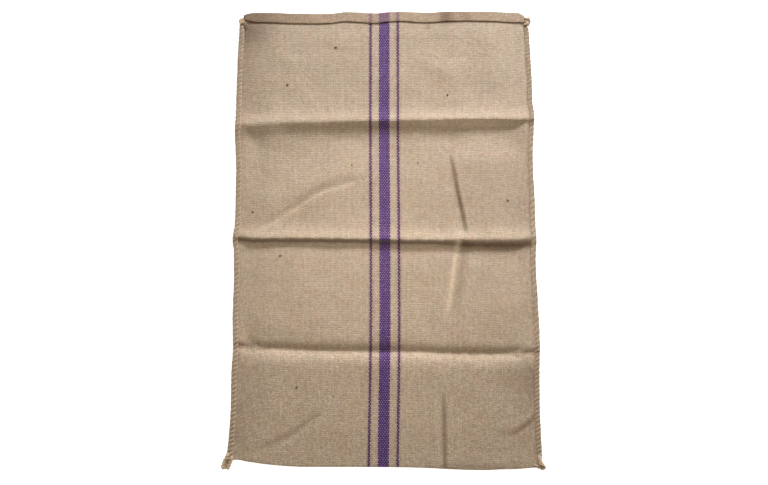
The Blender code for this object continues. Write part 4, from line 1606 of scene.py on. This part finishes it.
def seam_roll(facts):
    """Rings of the roll of selvedges: a section that shrinks near the twine by a bell of the distance.

    The distance to the twine is the fraction of a stitch to its nearest pass at that angle. Painted shade
    lies in the groove and below it, less where the twine is buried, except in the notches at the outer edge.
    """
    fine, number = stitch_numbers(facts)
    rows = int(number[-1] * ROLL_STEPS)
    at = np.linspace(0.0, number[-1], rows)[:, None]
    angle = np.linspace(0.0, 2 * math.pi, ROLL_SIDES, endpoint=False)[None, :]
    y = np.interp(at, number, fine) + 0.0 * angle
    off = ((at - advance(angle, facts["side"]) + 0.5) % 1.0 - 0.5) * curve(facts["y"], facts["pitch"], y)
    taper = smooth(np.minimum(at, number[-1] - at) / END_TAPER)
    edge = smooth((np.cos(angle) - NOTCH_FROM) / NOTCH_WIDTH)
    buried = curve(facts["y"], facts["buried"], y) * (1.0 - edge)
    groove = bell(off, GROOVE_HALF) * (1.0 - BURIED_GROOVE * buried)
    along_rate, round_rate = ROLL_RIPPLE_RATES
    inset = GROOVE_INSET * groove + ROLL_RIPPLES * ripples(along_rate * y, round_rate * angle + 0.0 * y)
    half_in = (HALF_REACH + 0.5 * STRAND_RADIUS - inset) * taper
    half_up = (PACK_HALF + ROLL_RAISED - inset) * taper
    rings, _ = section(angle + 0.0 * y, y, facts["side"], half_in, half_up)
    # Painted shade just below each groove
    below = bell(off + SHADE_BELOW, SHADE_HALF)
    return rings, ROLL_GROOVE_SHADE * np.maximum(below, groove) * (1.0 - BURIED_SHADE * buried * (1.0 - edge))


print("a stitch reaches", round(2 * HALF_REACH, 1), "mm over the selvedges")

# %% Make the seams
ROLL_U_START = 0.325
seams = {}
rolls = {}
for name, facts in SEAMS.items():
    path, outward, stitches, shaded = seam_twine(facts)
    strand = tube(path, np.full(len(path), STRAND_RADIUS), outward)
    shaded = np.broadcast_to(shaded[:, None], strand[0].shape[:2])
    seams[name] = twine_piece(f"overcast_twine_{name}", [strand], seam_twine_material, [shaded])
    rings, shaded = seam_roll(facts)
    girth = np.linalg.norm(np.diff(rings, axis=1, append=rings[:, :1]), axis=2)
    around = np.cumsum(girth, axis=1) - girth
    flat = np.stack([facts["side"] * (ROLL_U_START + around * MM), rings[..., 1] * MM], axis=2)
    rolls[name] = twine_piece(f"rolled_selvedge_{name}", [(rings, flat)], outside_material, [shaded])
    print("seam", name, "has", stitches, "stitches")

# %% [markdown]
# ## Knots at the corners
#
# Each seam starts and ends in a knot, and the twine's tail is left hanging out. A knot drawn tight looks
# like a ball of twine wound every way. A torus knot gives that with one formula: a point runs round a
# ring while it winds round the ring's own thickness. A plain lump inside closes the ball. Tails are tubes
# along a few points, thick in the middle and round at the end. Painted shade darkens a few places on each
# knot, in the gaps under and between its twine.

# %% Knots
KNOT_STEPS = 220
KNOT_RADIUS = 1.5
KNOT_TURNS = 3
KNOT_WINDS = 7
KNOT_SWING = 0.75
KNOT_RISE = 1.2
TAIL_STEPS = 44
TAIL_END = 0.05
TAIL_SIDES = 16
TAIL_PLIES = 3
TAIL_TWIST = 7.0
# Balls by centre, half sizes and degrees turned, tails by radius and points, painted shade by x, y, reach,
# strength
KNOTS = {
    "twine_knot_top_left": {
        "balls": (((-344.4, 521.4, 5.4), (7.8, 10.2, 5.0), 24),),
        "tails": (
            (
                1.3,
                ((-339.5, 515.5, 7.0), (-336.6, 513.0, 7.4), (-332.6, 512.8, 7.4), (-330.2, 509.6, 7.4),
                 (-331.6, 506.0, 7.4), (-335.2, 505.6, 7.4), (-337.2, 508.6, 7.4), (-336.0, 511.6, 7.9)),
            ),
        ),
        "dust": ((-333.6, 509.1, 7.0, 0.95), (-341.5, 513.5, 4.0, 0.5)),
    },
    "twine_knot_top_right": {
        "balls": (((347.4, 521.8, 5.0), (8.2, 12.2, 5.0), -6),),
        "tails": (
            (1.9, ((339.5, 515.0, 5.8), (343.0, 512.4, 8.4), (348.5, 512.0, 8.6), (352.6, 514.0, 5.4))),
            (2.2, ((339.0, 527.5, 6.4), (343.5, 528.5, 9.0), (349.0, 526.5, 8.8), (352.5, 522.0, 6.0))),
        ),
        "dust": ((346.5, 510.4, 4.4, 1.0), (354.6, 522.0, 4.4, 0.85), (352.6, 530.0, 4.0, 0.6)),
    },
    "twine_knot_bottom_left": {
        "balls": (((-356.6, -517.2, 4.9), (6.6, 5.4, 4.7), -18),),
        "tails": (
            (
                4.6,
                ((-352.6, -505.0, 5.0), (-357.8, -516.5, 5.0), (-362.4, -526.0, 5.0), (-364.9, -535.0, 4.9),
                 (-364.4, -541.7, 4.8)),
            ),
            (
                4.1,
                ((-346.0, -512.0, 5.0), (-347.6, -522.0, 5.0), (-350.6, -528.0, 4.9), (-352.6, -535.0, 4.8),
                 (-356.4, -542.0, 4.7)),
            ),
            (4.0, ((-355.0, -520.0, 4.2), (-358.0, -531.0, 4.2), (-360.6, -541.4, 4.2))),
        ),
        "dust": ((-355.4, -523.7, 4.4, 1.0), (-358.2, -532.0, 3.4, 0.7), (-347.5, -521.5, 3.0, 0.4)),
    },
    "twine_knot_bottom_right": {
        "balls": (((355.2, -528.4, 4.8), (5.6, 6.2, 4.6), 30),),
        "tails": (
            (4.5, ((351.8, -510.0, 5.2), (354.2, -522.0, 5.2), (360.0, -532.4, 4.9), (366.4, -540.8, 4.6))),
            (3.3, ((340.0, -533.4, 4.6), (348.0, -535.4, 4.4), (356.0, -538.6, 4.3), (364.0, -541.6, 4.2))),
        ),
        "dust": (
            (343.0, -535.8, 3.2, 0.9),
            (350.0, -536.0, 3.2, 0.9),
            (357.0, -536.4, 3.2, 0.9),
            (362.6, -537.2, 2.8, 0.9),
        ),
    },
}


def wound_path(half):
    """A closed torus knot, three turns round and seven through, scaled to the half sizes given."""
    t = np.linspace(0.0, 2 * math.pi, KNOT_STEPS)
    ring = 1.0 + KNOT_SWING * np.cos(KNOT_WINDS * t)
    turned = KNOT_TURNS * t
    rise = KNOT_RISE * np.sin(KNOT_WINDS * t)
    points = np.stack([ring * np.cos(turned), ring * np.sin(turned), rise], axis=1)
    return points / np.abs(points).max(axis=0) * (np.asarray(half) - KNOT_RADIUS)


def turned_about(points, centre, degrees):
    """Points turned about the upright axis by an angle, then moved to a centre."""
    a = math.radians(degrees)
    turn = np.array([[math.cos(a), -math.sin(a), 0.0], [math.sin(a), math.cos(a), 0.0], [0.0, 0.0, 1.0]])
    return points @ turn.T + centre


def lump(half, centre, degrees, sides=12, rows=9):
    """Rings of an ellipsoid: half sizes times cosines and sines of two angles."""
    tilt = np.linspace(-math.pi / 2, math.pi / 2, rows + 2)[1:-1, None]
    angle = np.linspace(0.0, 2 * math.pi, sides, endpoint=False)[None, :]
    level = np.cos(tilt)
    ball = np.stack([level * np.cos(angle), level * np.sin(angle), np.sin(tilt) + 0.0 * angle], axis=2)
    rings = turned_about(ball * np.asarray(half), centre, degrees)
    flat = np.stack([angle / (2 * math.pi) + 0.0 * tilt, tilt * half[0] * MM + 0.0 * angle], axis=2)
    return rings, flat


def tail(radius, points):
    """A tube along a smooth curve through points, rounded off at its ends like a ball of its radius."""
    points = np.asarray(points)
    t = (1.0 - np.cos(np.linspace(0.0, math.pi, TAIL_STEPS))) / 2
    path = np.stack([curve(np.linspace(0.0, 1.0, len(points)), column, t) for column in points.T], axis=1)
    way = np.concatenate([[0.0], np.cumsum(np.linalg.norm(np.diff(path, axis=0), axis=1))])
    from_end = np.clip(np.minimum(way, way[-1] - way) / radius, 0.0, 1.0)
    width = radius * np.sqrt(1.0 - (1.0 - from_end) ** 2) + TAIL_END
    upright = np.tile([0.0, 0.0, 1.0], (len(path), 1))
    return tube(path, width, upright, sides=TAIL_SIDES, plies=TAIL_PLIES, twist=TAIL_TWIST)


def painted_shade_spots(places):
    """A function that gives painted shade at points: a bell of the distance to each place, summed."""

    def dust_at(points):
        x, y = points[:, 0], points[:, 1]
        total = np.zeros(len(points))
        for at_x, at_y, reach, strength in places:
            total += strength * bell(np.hypot(x - at_x, y - at_y), reach)
        return total

    return dust_at


print("places round a wound knot:", len(wound_path((8.0, 8.0, 5.0))))

# %% Make the knots
knots = {}
for name, facts in KNOTS.items():
    tubes = []
    for centre, half, degrees in facts["balls"]:
        path = turned_about(wound_path(half), centre, degrees)
        outward = path - np.asarray(centre)
        tubes.append(tube(path, np.full(len(path), KNOT_RADIUS), outward))
        tubes.append(lump(np.asarray(half) - KNOT_RADIUS, centre, degrees))
    tubes += [tail(radius, points) for radius, points in facts["tails"]]
    # Painted shade on the knot at the places listed
    knots[name] = twine_piece(name.replace("twine_", ""), tubes, seam_twine_material, painted_shade_spots(facts["dust"]))
    print(name, "has", len(knots[name].data.polygons), "faces")

# %% [markdown]
# ## Specks of bark
#
# A few bits of the jute plant's bark stay in the yarn and show as dark specks. Each is a small flattened
# lump, pressed into the front ply at its height there. They are one piece, so that the sack stays simple.
# The table gives each one's x, y and size.

# %% Specks
SPECKS = (
    (-116.0, 452.0, 3.9),
    (-231.0, 359.0, 3.9),
    (151.5, 334.0, 3.6),
    (291.0, 78.0, 3.3),
    (-309.0, 51.0, 3.6),
    (-242.0, -54.0, 3.4),
    (-199.5, -358.0, 3.4),
    (-76.0, 163.0, 2.4),
    (80.0, 169.0, 2.4),
    (-115.0, -378.0, 2.1),
)
SPECK_SHAPE = np.array([1.0, 0.75, 0.35])
SPECK_TURN = 40.0
SPECK_LIFT = 0.1
BARK = (0.060, 0.036, 0.024, 1.0)
BARK_PALE = (0.150, 0.095, 0.060, 1.0)
BARK_ROUGHNESS = 0.7
BARK_GRAIN = 900.0

bark_material, bark_shader = plain_material("jute_bark", BARK[:3], BARK_ROUGHNESS)
w = Wiring(bark_material.node_tree)
bark_at = w.node("ShaderNodeTexCoord").outputs["Object"]
bark_grain = w.noise(bark_at, BARK_GRAIN, 3.0, size="3D")
w.plug(w.tint(bark_grain, BARK, BARK_PALE), bark_shader.inputs["Base Color"])
speck_tubes = []
for number, (x, y, size) in enumerate(SPECKS):
    at_x, at_y = np.array([[x]]), np.array([[y]])
    from_side = np.minimum(at_x - left_side(at_y), right_side(at_y) - at_x)
    top = float(front_height(at_x, at_y, from_side)[0, 0]) + CLOTH_THICKNESS / 2
    speck_at = (x, y, top + SPECK_LIFT)
    speck_tubes.append(lump(size * SPECK_SHAPE, speck_at, SPECK_TURN * number, sides=8, rows=5))
specks = twine_piece("bark_specks", speck_tubes, bark_material, painted_shade_spots(()))
print("specks:", len(SPECKS))

# %% [markdown]
# ## Riding on the packed body
#
# Every piece rides on the packed model's one body, and each packed node that a piece stands for is hidden.

# %% Ride and replace
pieces = {"sack_cloth": cloth, **{f"seam_twine_{name}": piece for name, piece in seams.items()}, **knots}
for node, piece in pieces.items():
    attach(piece, "root")
    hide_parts(node)
for piece in (*rolls.values(), specks):
    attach(piece, "root")

depsgraph = bpy.context.evaluated_depsgraph_get()
for piece in (*pieces.values(), *rolls.values(), specks):
    faces = piece.evaluated_get(depsgraph).data.polygons
    print(piece.name, "triangles:", 2 * len(faces))

# %% [markdown]
# ## Bringing the scene up to date
#
# The dressed sack has to fill the same box as the packed one. The scene is brought up to date.

# %% Update the scene
bpy.context.view_layer.update()
